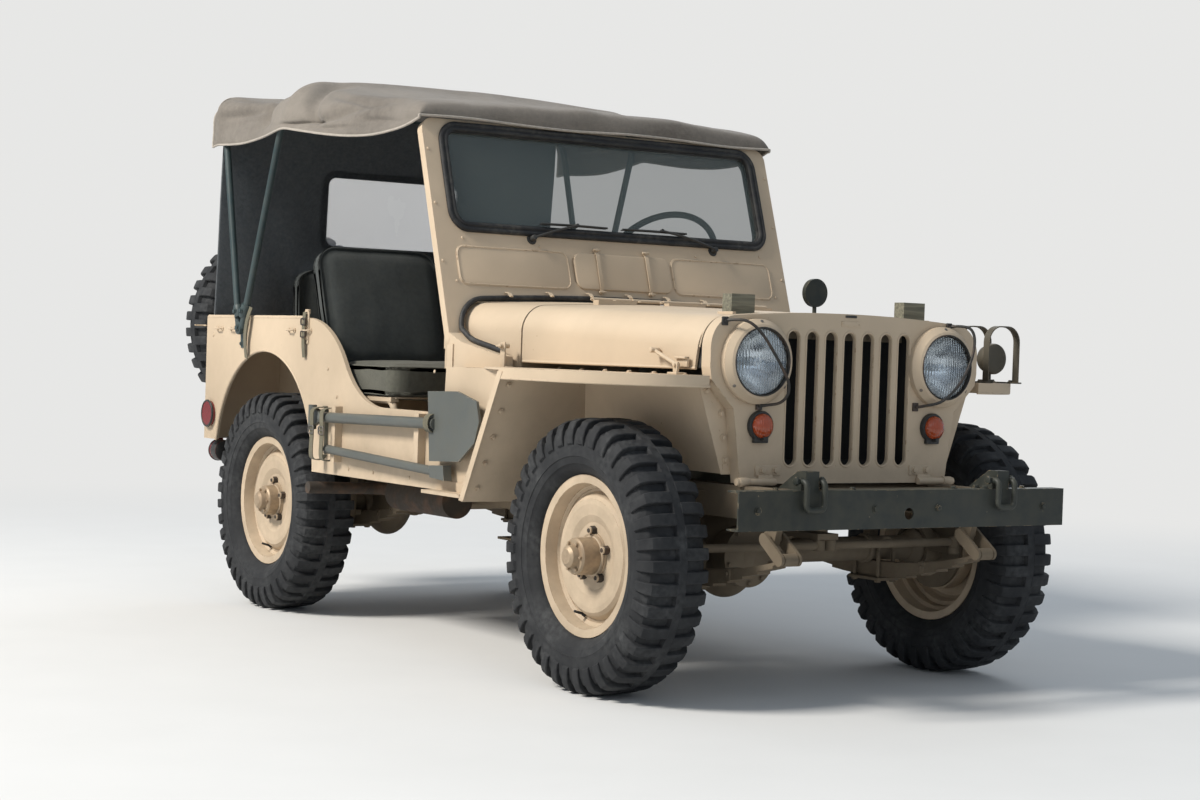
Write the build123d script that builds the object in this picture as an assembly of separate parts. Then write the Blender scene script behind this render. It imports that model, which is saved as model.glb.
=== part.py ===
from build123d import *
import math
import os

# Light military 4x4 utility car with a soft top, in millimetres. The front faces -Y,
# the left side, with the steering wheel, is +X, and Z is 0 at the ground.

# Wheels and axles
WHEELBASE = 2032.0
FRONT_AXLE_Y = -1097.0
TRACK = 1251.0
TYRE_RADIUS = 378.0
TYRE_WIDTH = 195.0
TREAD_WIDTH = 160.0
TYRE_WALL = 14.0
RIM_LIP_RADIUS = 222.5
RIM_LIP_HALF = 64.0
RIM_SEAT_RADIUS = 205.0
RIM_WELL_RADIUS = 190.0
RIM_WALL = 6.0
DRUM_RADIUS = 130.0
DRUM_DEPTH = 42.0
SPINDLE_RADIUS = 30.0
FRONT_HUB_REACH = 122.0
REAR_HUB_REACH = 104.0
DISC_RADIUS = RIM_WELL_RADIUS - 2
DISC = ((16, DISC_RADIUS), (16, 176), (32, 166), (40, 156), (41, 142), (38, 112), (30, 92), (30, 44), (24, 44),
        (24, 94),
        (31, 113), (34, 142), (33, 153), (26, 161), (9, 170), (9, DISC_RADIUS))
KINGPIN_X = 512.0
KINGPIN_RADIUS = 12.0
BALL_RADIUS = 57.0
AXLE_TUBE_RADIUS = 36.0
DIFF_X = -215.0
DIFF_RADIUS = 128.0
WHEEL_BOLT_CIRCLE = 139.7
WHEEL_NUTS = 5
BACKING_PLATE = 38.0
STEER_ARM = 165.0
CRANK_ARM = 120.0
PITMAN_ARM = 153.0
CRANK_X = 20.0
PITMAN_FROM_AXLE = 350.0
COLUMN_TOP_X = 368.0
COLUMN_TOP_FROM_AXLE = 1193.0
COLUMN_TOP_Z = 1245.0
COLUMN_SHARE = 0.95
RIM_RADIUS = 205.0

# Clearances
RUNNING = 0.3
ROD_GAP = 0.5
MOVING = 5.0

# Tub
TUB_HALF = 725.0
SHEET = 14.0
TUB_REAR_FROM_AXLE = 485.0
TUB_TOP_Z = 1018.0
TUB_LOW_REAR_Z = 572.0
SILL_Z = 505.0
DOOR_SILL_Z = 737.0
DOOR_CURVE_RADIUS = 359.0
DOOR_CURVE_ANGLE = 54.0
FLOOR_Z = 520.0
FLOOR_THICK = 16.0
REAR_FLOOR_Z = 580.0
WHEELHOUSE_TOP_Z = 925.0
WHEELHOUSE_IN_X = 430.0
ARCH_RADIUS = 404.0
ARCH_TOP_Z = 903.0

# Bonnet, cowl and grille
GRILLE_FACE_FROM_AXLE = -269.0
GRILLE_DEPTH = 40.0
GRILLE_HALF = 482.0
GRILLE_TOP_Z = 1064.0
GRILLE_LOW_Z = 592.0
SLOTS = 7
SLOT_PITCH = 66.5
SLOT_WIDTH = 43.0
SLOT_LOW_Z = 640.0
SLOT_TOP_Z = 1013.0
BONNET_SEAM_FROM_AXLE = 546.0
BONNET_SHEET = 8.0
HINGE_PIN = 3.0
BONNET_LOW_Z = 897.0
BONNET_REAR_HALF = 578.0
BONNET_REAR_TOP_Z = 1086.0
COWL_REAR_HALF = 622.0
COWL_REAR_TOP_Z = 1094.0
HEADLIGHT_X = 333.0
HEADLIGHT_Z = 924.0
BEZEL_RADIUS = 115.5
LENS_RADIUS = 89.0
SIGNAL_X = 311.0
SIGNAL_Z = 750.0
SIGNAL_RADIUS = 38.0

# Wings
WING_HALF = 780.0
WING_TOP_Z = 882.0
WING_LIP = 30.0
WING_CORNER = 285.0
WING_SHEET = 6.0
INNER_EDGE_X = 375.0
INNER_PANEL_TOP_X = 490.0
INNER_PANEL_LOW_X = 398.0
APRON_TOP_FROM_AXLE = 322.0
APRON_LOW_FROM_AXLE = 520.0

# Windscreen, which leans back about its base line
SCREEN_BASE_FROM_AXLE = 851.0
SCREEN_BASE_Z = 1100.0
SCREEN_RAKE = 18.4
SCREEN_HALF = 673.0
SCREEN_LOW_Z = 925.0
SCREEN_TOP_Z = 1650.0
SCREEN_THICK = 30.0
GLASS_HALF = 604.0
GLASS_LOW_Z = 1309.0
GLASS_TOP_Z = 1626.0
GLASS_THICK = 6.0
SEAL_WIDTH = 16.0

# Chassis
RAIL_X = 350.0
RAIL_WIDTH = 44.0
RAIL_HEIGHT = 90.0
RAIL_WALL = 5.0
RAIL_FRONT_Z = 587.0
BUMPER_HALF = 578.0
BUMPER_HEIGHT = 104.0
BUMPER_TOP_Z = 592.5
BUMPER_FACE_FROM_AXLE = -540.0
BUMPER_DEPTH = 48.0
HANDLE_HOLE_RADIUS = 16.0
SPRING_WIDTH = 44.0
SPRING_HALF_SPAN = 465.0
SPRING_RISE = 62.0
SPRING_EYE = 17.0
SPRING_PIN = 9.0
SHACKLE_RUN = 68.0
SHACKLE_RISE = 50.0
LEAF = 7.5
LEAF_SHARES = (1.0, 0.92, 0.78, 0.64, 0.5, 0.36)
DRAWBAR_HOLE_RADIUS = 7.0
DRAWBAR_SPACING = 90.0

# Soft top
BOW_RADIUS = 12.0
BOW_PIVOT_X = 740.0
BOW_X = 726.0
BOW_PIVOT_FROM_AXLE = 156.0
FRONT_BOW_FROM_AXLE = -159.0
REAR_BOW_FROM_AXLE = 387.0
CANVAS_HALF = 752.0
CANVAS_THICK = 10.0
CANVAS_TOP_Z = 1856.0
FRONT_BOW_BEND = 160.0
REAR_BOW_BEND = 85.0

# Seats
SEAT_WIDTH = 440.0
DRIVER_X = 400.0
PASSENGER_X = -470.0
SEAT_TOP_Z = 862.0
SEAT_FRONT_FROM_AXLE = 1127.0
SEAT_DEPTH = 394.0
BACKREST_TOP_Z = 1250.0
BACKREST_THICK = 66.0
BACKREST_LEAN = 0.355
BACKREST_TUBE = 10.0
BACKREST_TUBE_X = 150.0

# Engine, spare wheel, curtain window and tools
ENGINE_RIGHT = 170.0
ENGINE_LEFT = 150.0
SPARE_X = -344.0
SPARE_Z = 990.0
SPARE_GAP = 44.0
WINDOW_HALF = 290.0
WINDOW_LOW_Z = 1290.0
WINDOW_TOP_Z = 1570.0
TOOL_X = -757.0
SHAFT_RADIUS = 17.0
HANDLE_RADIUS = 14.0

# Worked out from the sizes above
HUB_Z = TYRE_RADIUS
RAIL_MIDDLE_Z = FLOOR_Z - RUNNING
RAIL_REAR_Z = REAR_FLOOR_Z - RUNNING
HINGE_Z = BONNET_REAR_TOP_Z + 8
LEDGE_Z = SCREEN_LOW_Z - 56
LEDGE_TOP_Z = LEDGE_Z + 7
TIE_ROD_Z = HUB_Z + 14 + ROD_GAP + 15
CRANK_Z = TIE_ROD_Z + 15 + ROD_GAP
LINK_Z = CRANK_Z + 18 + ROD_GAP + 13
PITMAN_Y = FRONT_AXLE_Y + PITMAN_FROM_AXLE
COLUMN_LOW = (275.0, PITMAN_Y + 10, LINK_Z + PITMAN_ARM + 20)
COLUMN_TOP = (COLUMN_TOP_X, FRONT_AXLE_Y + COLUMN_TOP_FROM_AXLE, COLUMN_TOP_Z)
REAR_AXLE_Y = FRONT_AXLE_Y + WHEELBASE
HALF_TRACK = TRACK / 2
TUB_REAR_Y = REAR_AXLE_Y + TUB_REAR_FROM_AXLE
GRILLE_FACE_Y = FRONT_AXLE_Y + GRILLE_FACE_FROM_AXLE
GRILLE_REAR_Y = GRILLE_FACE_Y + GRILLE_DEPTH
SEAM_Y = FRONT_AXLE_Y + BONNET_SEAM_FROM_AXLE
SCREEN_BASE_Y = FRONT_AXLE_Y + SCREEN_BASE_FROM_AXLE
BUMPER_FACE_Y = FRONT_AXLE_Y + BUMPER_FACE_FROM_AXLE
DASH_Y = SCREEN_BASE_Y + 70
POST_Y = SCREEN_BASE_Y - 115
SEAT_FRONT_Y = FRONT_AXLE_Y + SEAT_FRONT_FROM_AXLE
SEAT_REAR_Y = SEAT_FRONT_Y + SEAT_DEPTH
WING_BACK_Y = SEAM_Y - 40 - RUNNING
APRON_TOP_Y = FRONT_AXLE_Y + APRON_TOP_FROM_AXLE
APRON_LOW_Y = FRONT_AXLE_Y + APRON_LOW_FROM_AXLE
APRON_LOW_Z = SILL_Z - 16
INSIDE = TUB_HALF - SHEET
FLOOR_STEP_Y = REAR_AXLE_Y - ARCH_RADIUS - 70
RAIL_OUT = RAIL_X + RAIL_WIDTH / 2
RAIL_IN = RAIL_X - RAIL_WIDTH / 2
SHOVEL_SHAFT = ((TOOL_X, SEAM_Y + 180, 705), (TOOL_X, SEAM_Y + 940, 692))
AXE_HANDLE = ((TOOL_X, SEAM_Y + 150, 562), (TOOL_X, SEAM_Y + 900, 590))
SIDES = (("right", -1), ("left", 1))
os.makedirs("parts", exist_ok=True)


def save(name, *shapes):
    """Write one node, made of one or more solids."""
    solids = [solid for shape in shapes for solid in shape.solids()]
    shape = solids[0] if len(solids) == 1 else Compound(children=solids)
    export_step(shape, "parts/" + name + ".step")


def block(x_range, y_range, z_range):
    """A box between two limits on each axis."""
    spans = [high - low for low, high in (x_range, y_range, z_range)]
    middle = [(low + high) / 2 for low, high in (x_range, y_range, z_range)]
    return Pos(*middle) * Box(*spans)


def rod(start, end, radius):
    """A round bar between two points."""
    line = Vector(*end) - Vector(*start)
    plane = Plane(origin=start, z_dir=line.normalized())
    return extrude(plane * Circle(radius), line.length)


def pipe(points, radius, bend):
    """A round bar or tube that follows a path with rounded corners."""
    path = FilletPolyline(*points, radius=bend)
    start = Plane(origin=path @ 0, z_dir=path % 0)
    return sweep(start * Circle(radius), path=path)


def polygon(*points):
    """A closed outline of straight edges."""
    return Polyline(*points, close=True)


def lathe_x(outline, side, y, z):
    """Turn an outline of (distance outwards, radius) about an axle line, on one side of the car."""
    turned = revolve(Plane.XY * make_face(polygon(*outline)), Axis.X)
    turned = turned if side > 0 else mirror(turned, Plane.YZ)
    return Pos(0, y, z) * turned


def lathe_y(outline, x, z):
    """Turn an outline of (y, radius) about a line that runs along the car."""
    turned = revolve(Plane.YX * make_face(polygon(*outline)), Axis.Y)
    return Pos(x, 0, z) * turned


def side_plate(outline, x_low, x_high):
    """A plate between two X planes, from a (y, z) outline."""
    face = Plane.YZ * make_face(outline)
    return Pos(x_low, 0, 0) * extrude(face, x_high - x_low)


def flat_plate(outline, z_low, z_high):
    """A plate between two Z planes, from an (x, y) outline."""
    return Pos(0, 0, z_low) * extrude(make_face(outline), z_high - z_low)


def polygon_face_y(points, y):
    """A face from points of (X, Z), square to Y."""
    outline = Polyline(*points, points[0])
    return Plane(origin=(0, y, 0), x_dir=(1, 0, 0), z_dir=(0, -1, 0)) * make_face(outline)


def mirrored(shape):
    """The same shape on the other side of the car."""
    return mirror(shape, Plane.YZ)


def on_side(shape, side):
    """A shape drawn on the left side, put on the side that is asked for."""
    return shape if side > 0 else mirrored(shape)


def arch(half, low, shoulder, corner, top, y, crown=16.0):
    """Arched cross section of the bonnet, the cowl or the canvas, square to Y."""
    edge = top - crown
    across = corner * (1 - math.sqrt(0.5))
    lift = (edge - shoulder) * (1 - math.sqrt(0.5))
    outline = Polyline((-half, low), (-half, shoulder))
    outline += ThreePointArc((-half, shoulder), (-half + across, edge - lift), (-half + corner, edge))
    outline += ThreePointArc((-half + corner, edge), (0, top), (half - corner, edge))
    outline += ThreePointArc((half - corner, edge), (half - across, edge - lift), (half, shoulder))
    outline += Polyline((half, shoulder), (half, low), (-half, low))
    return Plane(origin=(0, y, 0), x_dir=(1, 0, 0), z_dir=(0, -1, 0)) * make_face(outline)


def arch_shell(stations, sheet, overrun=20.0):
    """An arched sheet through stations, open below and at both ends."""
    shell = None
    hollow = None
    last = len(stations) - 2
    for number, (front, rear) in enumerate(zip(stations, stations[1:])):
        inner = []
        for half, low, shoulder, corner, top, y in (front, rear):
            inner.append([half - sheet, low - overrun, shoulder, corner, top - sheet, y])
        outer_part = loft([arch(*front), arch(*rear)])
        inner_part = loft([arch(*inner[0]), arch(*inner[1])])
        if number == 0:
            inner_part += extrude(arch(*inner[0]), overrun, dir=(0, -1, 0))
        if number == last:
            inner_part += extrude(arch(*inner[1]), overrun, dir=(0, 1, 0))
        shell = outer_part if shell is None else shell + outer_part
        hollow = inner_part if hollow is None else hollow + inner_part
    return shell - hollow


def chassis_frame():
    """Two channel rails that kick up over the axles, with cross members and spring hangers."""
    front = BUMPER_FACE_Y + 5 + RUNNING
    rear = TUB_REAR_Y - SHEET - RUNNING
    top = [(front, RAIL_FRONT_Z), (FRONT_AXLE_Y + 330, RAIL_FRONT_Z), (FRONT_AXLE_Y + 550, RAIL_MIDDLE_Z),
           (REAR_AXLE_Y - 470, RAIL_MIDDLE_Z), (REAR_AXLE_Y - 260, RAIL_REAR_Z), (rear, RAIL_REAR_Z)]
    low = [(y, z - RAIL_HEIGHT) for y, z in reversed(top)]
    inner_top = [(y, z - RAIL_WALL) for y, z in top]
    inner_low = [(y, z + RAIL_WALL) for y, z in low]
    rail = side_plate(polygon(*top, *low), RAIL_IN, RAIL_OUT)
    rail -= side_plate(polygon(*inner_top, *inner_low), RAIL_IN - 1, RAIL_OUT - RAIL_WALL)
    eye_z = spring_eye_z()
    half = SPRING_WIDTH / 2
    for axle_y, towards, base in ((FRONT_AXLE_Y, -1, RAIL_FRONT_Z), (REAR_AXLE_Y, 1, RAIL_REAR_Z)):
        base_z = base - RAIL_HEIGHT + 1
        lug_y = axle_y + towards * (SPRING_HALF_SPAN - SHACKLE_RUN)
        lug_z = eye_z + SHACKLE_RISE - 16
        lug = side_plate(polygon((lug_y - 34, base_z), (lug_y + 34, base_z), (lug_y + 16, lug_z),
                                 (lug_y - 16, lug_z)),
                         RAIL_X - 10, RAIL_X + 10)
        lug -= rod((RAIL_X - 20, lug_y, lug_z + 16), (RAIL_X + 20, lug_y, lug_z + 16), SPRING_PIN + RUNNING)
        rail += lug
        fixed_y = axle_y - towards * SPRING_HALF_SPAN
        roof = RAIL_MIDDLE_Z - RAIL_HEIGHT + (30 if towards < 0 else 7)
        hanger = side_plate(polygon((fixed_y - 34, roof), (fixed_y + 34, roof), (fixed_y + 18, eye_z - 18),
                                    (fixed_y - 18, eye_z - 18)), RAIL_X - half - 12, RAIL_X + half + 12)
        hanger -= block((RAIL_X - half - 3, RAIL_X + half + 3), (fixed_y - 40, fixed_y + 40),
                        (eye_z - 20, eye_z + 19))
        hanger -= rod((RAIL_X - 60, fixed_y, eye_z), (RAIL_X + 60, fixed_y, eye_z), SPRING_PIN + RUNNING)
        rail += hanger
    frame = rail + mirrored(rail)
    inside = RAIL_OUT - RAIL_WALL + 0.5
    for y, z, radius in (
            (FRONT_AXLE_Y - 330, RAIL_FRONT_Z - 30, 26),
            (GRILLE_REAR_Y + 45, RAIL_FRONT_Z - 26, 26),
            (REAR_AXLE_Y - 330, RAIL_REAR_Z - 70, 26)):
        frame += rod((-inside, y, z), (inside, y, z), radius)
    seat_z = 395 - RUNNING
    cradle = block((-inside, inside), (SEAM_Y + 120, SEAM_Y + 180), (seat_z - 30, seat_z))
    for side, half in ((-1, ENGINE_RIGHT), (1, ENGINE_LEFT)):
        cradle += block(sorted((side * (RAIL_IN + 1), side * inside)), (SEAM_Y + 120, SEAM_Y + 180),
                        (seat_z - 30, RAIL_MIDDLE_Z - RAIL_HEIGHT + 2))
        cradle += block(sorted((side * (half + RUNNING), side * (RAIL_IN + 1))),
                        (FRONT_AXLE_Y + 160, FRONT_AXLE_Y + 200),
                        (RAIL_FRONT_Z - 60, RAIL_FRONT_Z - 20))
    frame += cradle
    face = TUB_REAR_Y + 10
    beam = block((-inside, inside), (face - 56, face), (RAIL_REAR_Z - 90, TUB_LOW_REAR_Z - RUNNING))
    beam -= block((-inside + 60, inside - 60), (face - 60, face - 6), (RAIL_REAR_Z - 84, TUB_LOW_REAR_Z - 6))
    for x in (-DRAWBAR_SPACING / 2, DRAWBAR_SPACING / 2):
        for z in (RAIL_REAR_Z - 70, RAIL_REAR_Z - 24):
            beam -= rod((x, face - 20, z), (x, face + 10, z), DRAWBAR_HOLE_RADIUS)
    return frame + beam


def front_bumper():
    """Channel bumper, open to the rear, with the hole for the starting handle."""
    face = BUMPER_FACE_Y
    low = BUMPER_TOP_Z - BUMPER_HEIGHT
    span = (-BUMPER_HALF, BUMPER_HALF)
    beam = block(span, (face, face + 5), (low, BUMPER_TOP_Z))
    beam += block(span, (face, face + BUMPER_DEPTH), (BUMPER_TOP_Z - 5, BUMPER_TOP_Z))
    beam += block(span, (face, face + BUMPER_DEPTH), (low, low + 5 - RUNNING))
    for side in (-1, 1):
        rail = (side * RAIL_X - RAIL_WIDTH, side * RAIL_X + RAIL_WIDTH)
        beam -= block(rail, (face + 5, face + BUMPER_DEPTH + 1), (low - 1, low + 6))
    hole = rod((0, face - 10, 528), (0, face + 20, 528), HANDLE_HOLE_RADIUS)
    return beam - hole


def tow_shackles():
    """Lifting brackets on the bumper, each with its hanging ring."""
    shapes = []
    top = BUMPER_TOP_Z
    face = BUMPER_FACE_Y
    for side in (-1, 1):
        x = side * (RAIL_X - 10)
        lug = polygon((face - 2, top), (face + 112, top), (face + 34, top + 50), (face - 2, top + 50))
        bracket = side_plate(lug, x - 22, x + 22)
        bracket -= rod((x - 30, face + 12, top + 24), (x + 30, face + 12, top + 24), 9)
        ring = pipe(((x - 30, face + 12, top + 24), (x - 30, face - 17, top + 24),
                     (x - 30, face - 17, top - 50),
                     (x + 30, face - 17, top - 50), (x + 30, face - 17, top + 24), (x + 30, face + 12,
                                                            top + 24)),
                    8, 14)
        ring += rod((x - 38, face + 12, top + 24), (x + 38, face + 12, top + 24), 8)
        shapes += [bracket, ring]
    return shapes


def spring_eye_z():
    """Height of a spring's eyes, which hang from the axle's seat."""
    return HUB_Z - AXLE_TUBE_RADIUS - RUNNING + SPRING_RISE


def springs(axle_y):
    """Leaf packs under an axle, with their eyes, pins and shackle links."""
    seat_z = HUB_Z - AXLE_TUBE_RADIUS - RUNNING
    eye_z = spring_eye_z()
    pack = None
    for number, share in enumerate(LEAF_SHARES):
        top = seat_z - number * LEAF
        low = top - LEAF - 0.5
        rise = SPRING_RISE * share * share
        reach = SPRING_HALF_SPAN * share
        upper = ThreePointArc((axle_y - reach, top + rise), (axle_y, top), (axle_y + reach, top + rise))
        lower = ThreePointArc((axle_y + reach, low + rise), (axle_y, low), (axle_y - reach, low + rise))
        outline = upper + Line(upper @ 1, lower @ 0) + lower + Line(lower @ 1, upper @ 0)
        leaf = side_plate(outline, RAIL_X - SPRING_WIDTH / 2, RAIL_X + SPRING_WIDTH / 2)
        pack = leaf if pack is None else pack + leaf
    half = SPRING_WIDTH / 2
    for y in (axle_y - SPRING_HALF_SPAN, axle_y + SPRING_HALF_SPAN):
        pack += rod((RAIL_X - half, y, eye_z), (RAIL_X + half, y, eye_z), SPRING_EYE)
        pack -= rod((RAIL_X - half - 1, y, eye_z), (RAIL_X + half + 1, y, eye_z), SPRING_PIN + RUNNING)
    return pack


def spring_links(axle_y, towards):
    """Shackle links and pins that hang one spring from its rail."""
    eye_z = spring_eye_z()
    half = SPRING_WIDTH / 2
    eye_y = axle_y + towards * SPRING_HALF_SPAN
    lug_y = eye_y - towards * SHACKLE_RUN
    lug_z = eye_z + SHACKLE_RISE
    fixed_y = axle_y - towards * SPRING_HALF_SPAN
    angle = math.degrees(math.atan2(SHACKLE_RISE, -SHACKLE_RUN * towards))
    outline = SlotCenterToCenter(math.hypot(SHACKLE_RUN, SHACKLE_RISE), 34)
    face = Plane.YZ * (Pos((eye_y + lug_y) / 2, (eye_z + lug_z) / 2) * Rot(0, 0, angle) * outline)
    link = rod((RAIL_X - half - 6, eye_y, eye_z), (RAIL_X + half + 6, eye_y, eye_z), SPRING_PIN)
    link += rod((RAIL_X - half - 6, lug_y, lug_z), (RAIL_X + half + 6, lug_y, lug_z), SPRING_PIN)
    for low in (RAIL_X - half - 12, RAIL_X + half + 3):
        link += Pos(low, 0, 0) * extrude(face, 9)
    pin = rod((RAIL_X - half - 12, fixed_y, eye_z), (RAIL_X + half + 12, fixed_y, eye_z), SPRING_PIN)
    return link, pin


def axle(y, pinion, ball):
    """Axle beam with its differential; a front one ends in balls, a rear one in spindles."""
    reach = KINGPIN_X if ball else HALF_TRACK - 40
    beam = rod((-reach, y, HUB_Z), (reach, y, HUB_Z), AXLE_TUBE_RADIUS)
    bowl = Pos(DIFF_X, y, HUB_Z) * scale(Sphere(DIFF_RADIUS), (0.62, 1, 1))
    beam += bowl
    beam += rod((DIFF_X, y, HUB_Z), (DIFF_X, y + pinion * 210, HUB_Z), 44)
    beam += rod((DIFF_X, y - pinion * 60, HUB_Z), (DIFF_X, y - pinion * 124, HUB_Z), 88)
    for side in (-1, 1):
        if ball:
            joint = Pos(side * KINGPIN_X, y, HUB_Z) * Sphere(BALL_RADIUS)
            beam += joint
            for low, high in ((30, BALL_RADIUS + 10), (-BALL_RADIUS - 10, -30)):
                socket = rod((side * KINGPIN_X, y, HUB_Z + low), (side * KINGPIN_X, y, HUB_Z + high),
                             KINGPIN_RADIUS + RUNNING)
                beam -= socket
        else:
            plate_x = HALF_TRACK - BACKING_PLATE
            beam += rod((side * (plate_x - 12), y, HUB_Z), (side * plate_x, y, HUB_Z), DRUM_RADIUS - 4)
            beam += rod((side * plate_x, y, HUB_Z), (side * (HALF_TRACK + 60), y, HUB_Z), SPINDLE_RADIUS)
    if ball:
        beam += rod((CRANK_X, y, HUB_Z), (CRANK_X, y, CRANK_Z + 28), KINGPIN_RADIUS)
    return beam


def knuckle(side):
    """Steering knuckle: a cup over the axle ball, kingpin stubs, spindle, backing plate and arm."""
    inner = BALL_RADIUS + MOVING
    outer = inner + 11
    mouth = -16
    plate = HALF_TRACK - KINGPIN_X - BACKING_PLATE
    end = HALF_TRACK - KINGPIN_X + 60
    neck = 48
    neck_x = math.sqrt(outer ** 2 - neck ** 2)
    half = math.sqrt(0.5)
    outline = ThreePointArc((mouth, math.sqrt(inner ** 2 - mouth ** 2)), (inner * half, inner * half),
                            (inner, 0))
    outline += Polyline((inner, 0), (end, 0), (end, SPINDLE_RADIUS), (plate, SPINDLE_RADIUS),
                        (plate, DRUM_RADIUS - 4), (plate - 9, DRUM_RADIUS - 4), (plate - 9, neck), (neck_x,
                                                            neck))
    outline += ThreePointArc((neck_x, neck), (outer * 0.35, outer * math.sqrt(1 - 0.35 ** 2)),
                             (mouth, math.sqrt(outer ** 2 - mouth ** 2)))
    outline += Line((mouth, math.sqrt(outer ** 2 - mouth ** 2)), (mouth, math.sqrt(inner ** 2 - mouth ** 2)))
    cup = revolve(Plane.XY * make_face(outline), Axis.X)
    for low, high in ((34, outer + 6), (-outer - 6, -34)):
        cup += rod((0, 0, low), (0, 0, high), KINGPIN_RADIUS)
    cup += block((-14, 14), (-STEER_ARM, -inner - 4), (-6, 14)) + rod((0, -STEER_ARM, -6),
                                                            (0, -STEER_ARM, 14), 18)
    placed = Pos(KINGPIN_X, FRONT_AXLE_Y, HUB_Z) * cup
    return on_side(placed, side)


def tie_rods():
    """The two halves of the track rod, with their ball ends."""
    y = FRONT_AXLE_Y - STEER_ARM
    z = TIE_ROD_Z
    halves = []
    for outer, inner in ((-KINGPIN_X, CRANK_X - 21), (KINGPIN_X, CRANK_X + 21)):
        half = rod((outer, y, z), (inner, y, z), 12)
        for x in (outer, inner):
            half += rod((x, y, z - 15), (x, y, z + 15), 17)
        halves.append(half)
    return halves


def bell_crank():
    """Lever on the axle that turns the drag link's pull into the track rods' push."""
    y = FRONT_AXLE_Y
    crank = flat_plate(polygon(
        (CRANK_X - 26, y), (CRANK_X - 38, y - STEER_ARM - 14), (CRANK_X + 38, y - STEER_ARM - 14),
        (CRANK_X + 26, y - 24), (CRANK_X + CRANK_ARM + 14, y - 16), (CRANK_X + CRANK_ARM + 14, y + 16),
        (CRANK_X, y + 26)), CRANK_Z, CRANK_Z + 18)
    crank += rod((CRANK_X, y, CRANK_Z - 6), (CRANK_X, y, CRANK_Z + 24), 26)
    return crank - rod((CRANK_X, y, CRANK_Z - 10), (CRANK_X, y, CRANK_Z + 40), KINGPIN_RADIUS + RUNNING)


def drag_link():
    """Rod from the pitman arm to the bell crank."""
    x = CRANK_X + CRANK_ARM
    link = rod((x, FRONT_AXLE_Y, LINK_Z), (x, PITMAN_Y, LINK_Z), 11)
    link += rod((x, FRONT_AXLE_Y, LINK_Z - 13), (x, FRONT_AXLE_Y, LINK_Z + 13), 15)
    return link + rod((x - 12, PITMAN_Y, LINK_Z), (x + 12, PITMAN_Y, LINK_Z), 15)


def pitman_arm():
    """Arm that the steering box swings."""
    x = CRANK_X + CRANK_ARM + 12 + ROD_GAP
    top = LINK_Z + PITMAN_ARM
    arm = side_plate(polygon((PITMAN_Y - 20, top), (PITMAN_Y + 20, top), (PITMAN_Y + 13, LINK_Z),
                             (PITMAN_Y - 13, LINK_Z)), x, x + 12)
    arm += rod((x, PITMAN_Y, top), (x + 12, PITMAN_Y, top), 24)
    arm += rod((x, PITMAN_Y, LINK_Z), (x + 12, PITMAN_Y, LINK_Z), 16)
    return arm + rod((x + 6, PITMAN_Y, top), (x + 40, PITMAN_Y, top), 14)


def column_point(share):
    """A point along the steering column, from the box to the wheel."""
    return tuple(low + share * (high - low) for low, high in zip(COLUMN_LOW, COLUMN_TOP))


def steering_column():
    """Steering box on the left rail, with the column's jacket."""
    x = CRANK_X + CRANK_ARM + 24 + MOVING
    z = LINK_Z + PITMAN_ARM
    box = block((x + MOVING, RAIL_IN - RUNNING), (PITMAN_Y - 62, PITMAN_Y + 62), (z - 48, z + 66))
    box -= rod((x - 10, PITMAN_Y, z), (x + 30, PITMAN_Y, z), 14 + RUNNING)
    return box + rod(COLUMN_LOW, column_point(COLUMN_SHARE), 22)


def steering_wheel():
    """Rim, three spokes, hub and shaft, about the column's line."""
    middle = Vector(*COLUMN_TOP)
    along = (middle - Vector(*COLUMN_LOW)).normalized()
    rim = Rot(0, 0, 45) * Torus(RIM_RADIUS, 11)
    for turn in (90, 210, 330):
        rim += Rot(0, 0, turn) * rod((20, 0, 0), (RIM_RADIUS, 0, 0), 6)
    rim += rod((0, 0, -18), (0, 0, 10), 34)
    length = (middle - Vector(*column_point(COLUMN_SHARE))).length - RUNNING
    rim += rod((0, 0, -length), (0, 0, 0), 12)
    place = Plane(origin=COLUMN_TOP, x_dir=(1, 0, 0), z_dir=along)
    return place.location * rim


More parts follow.
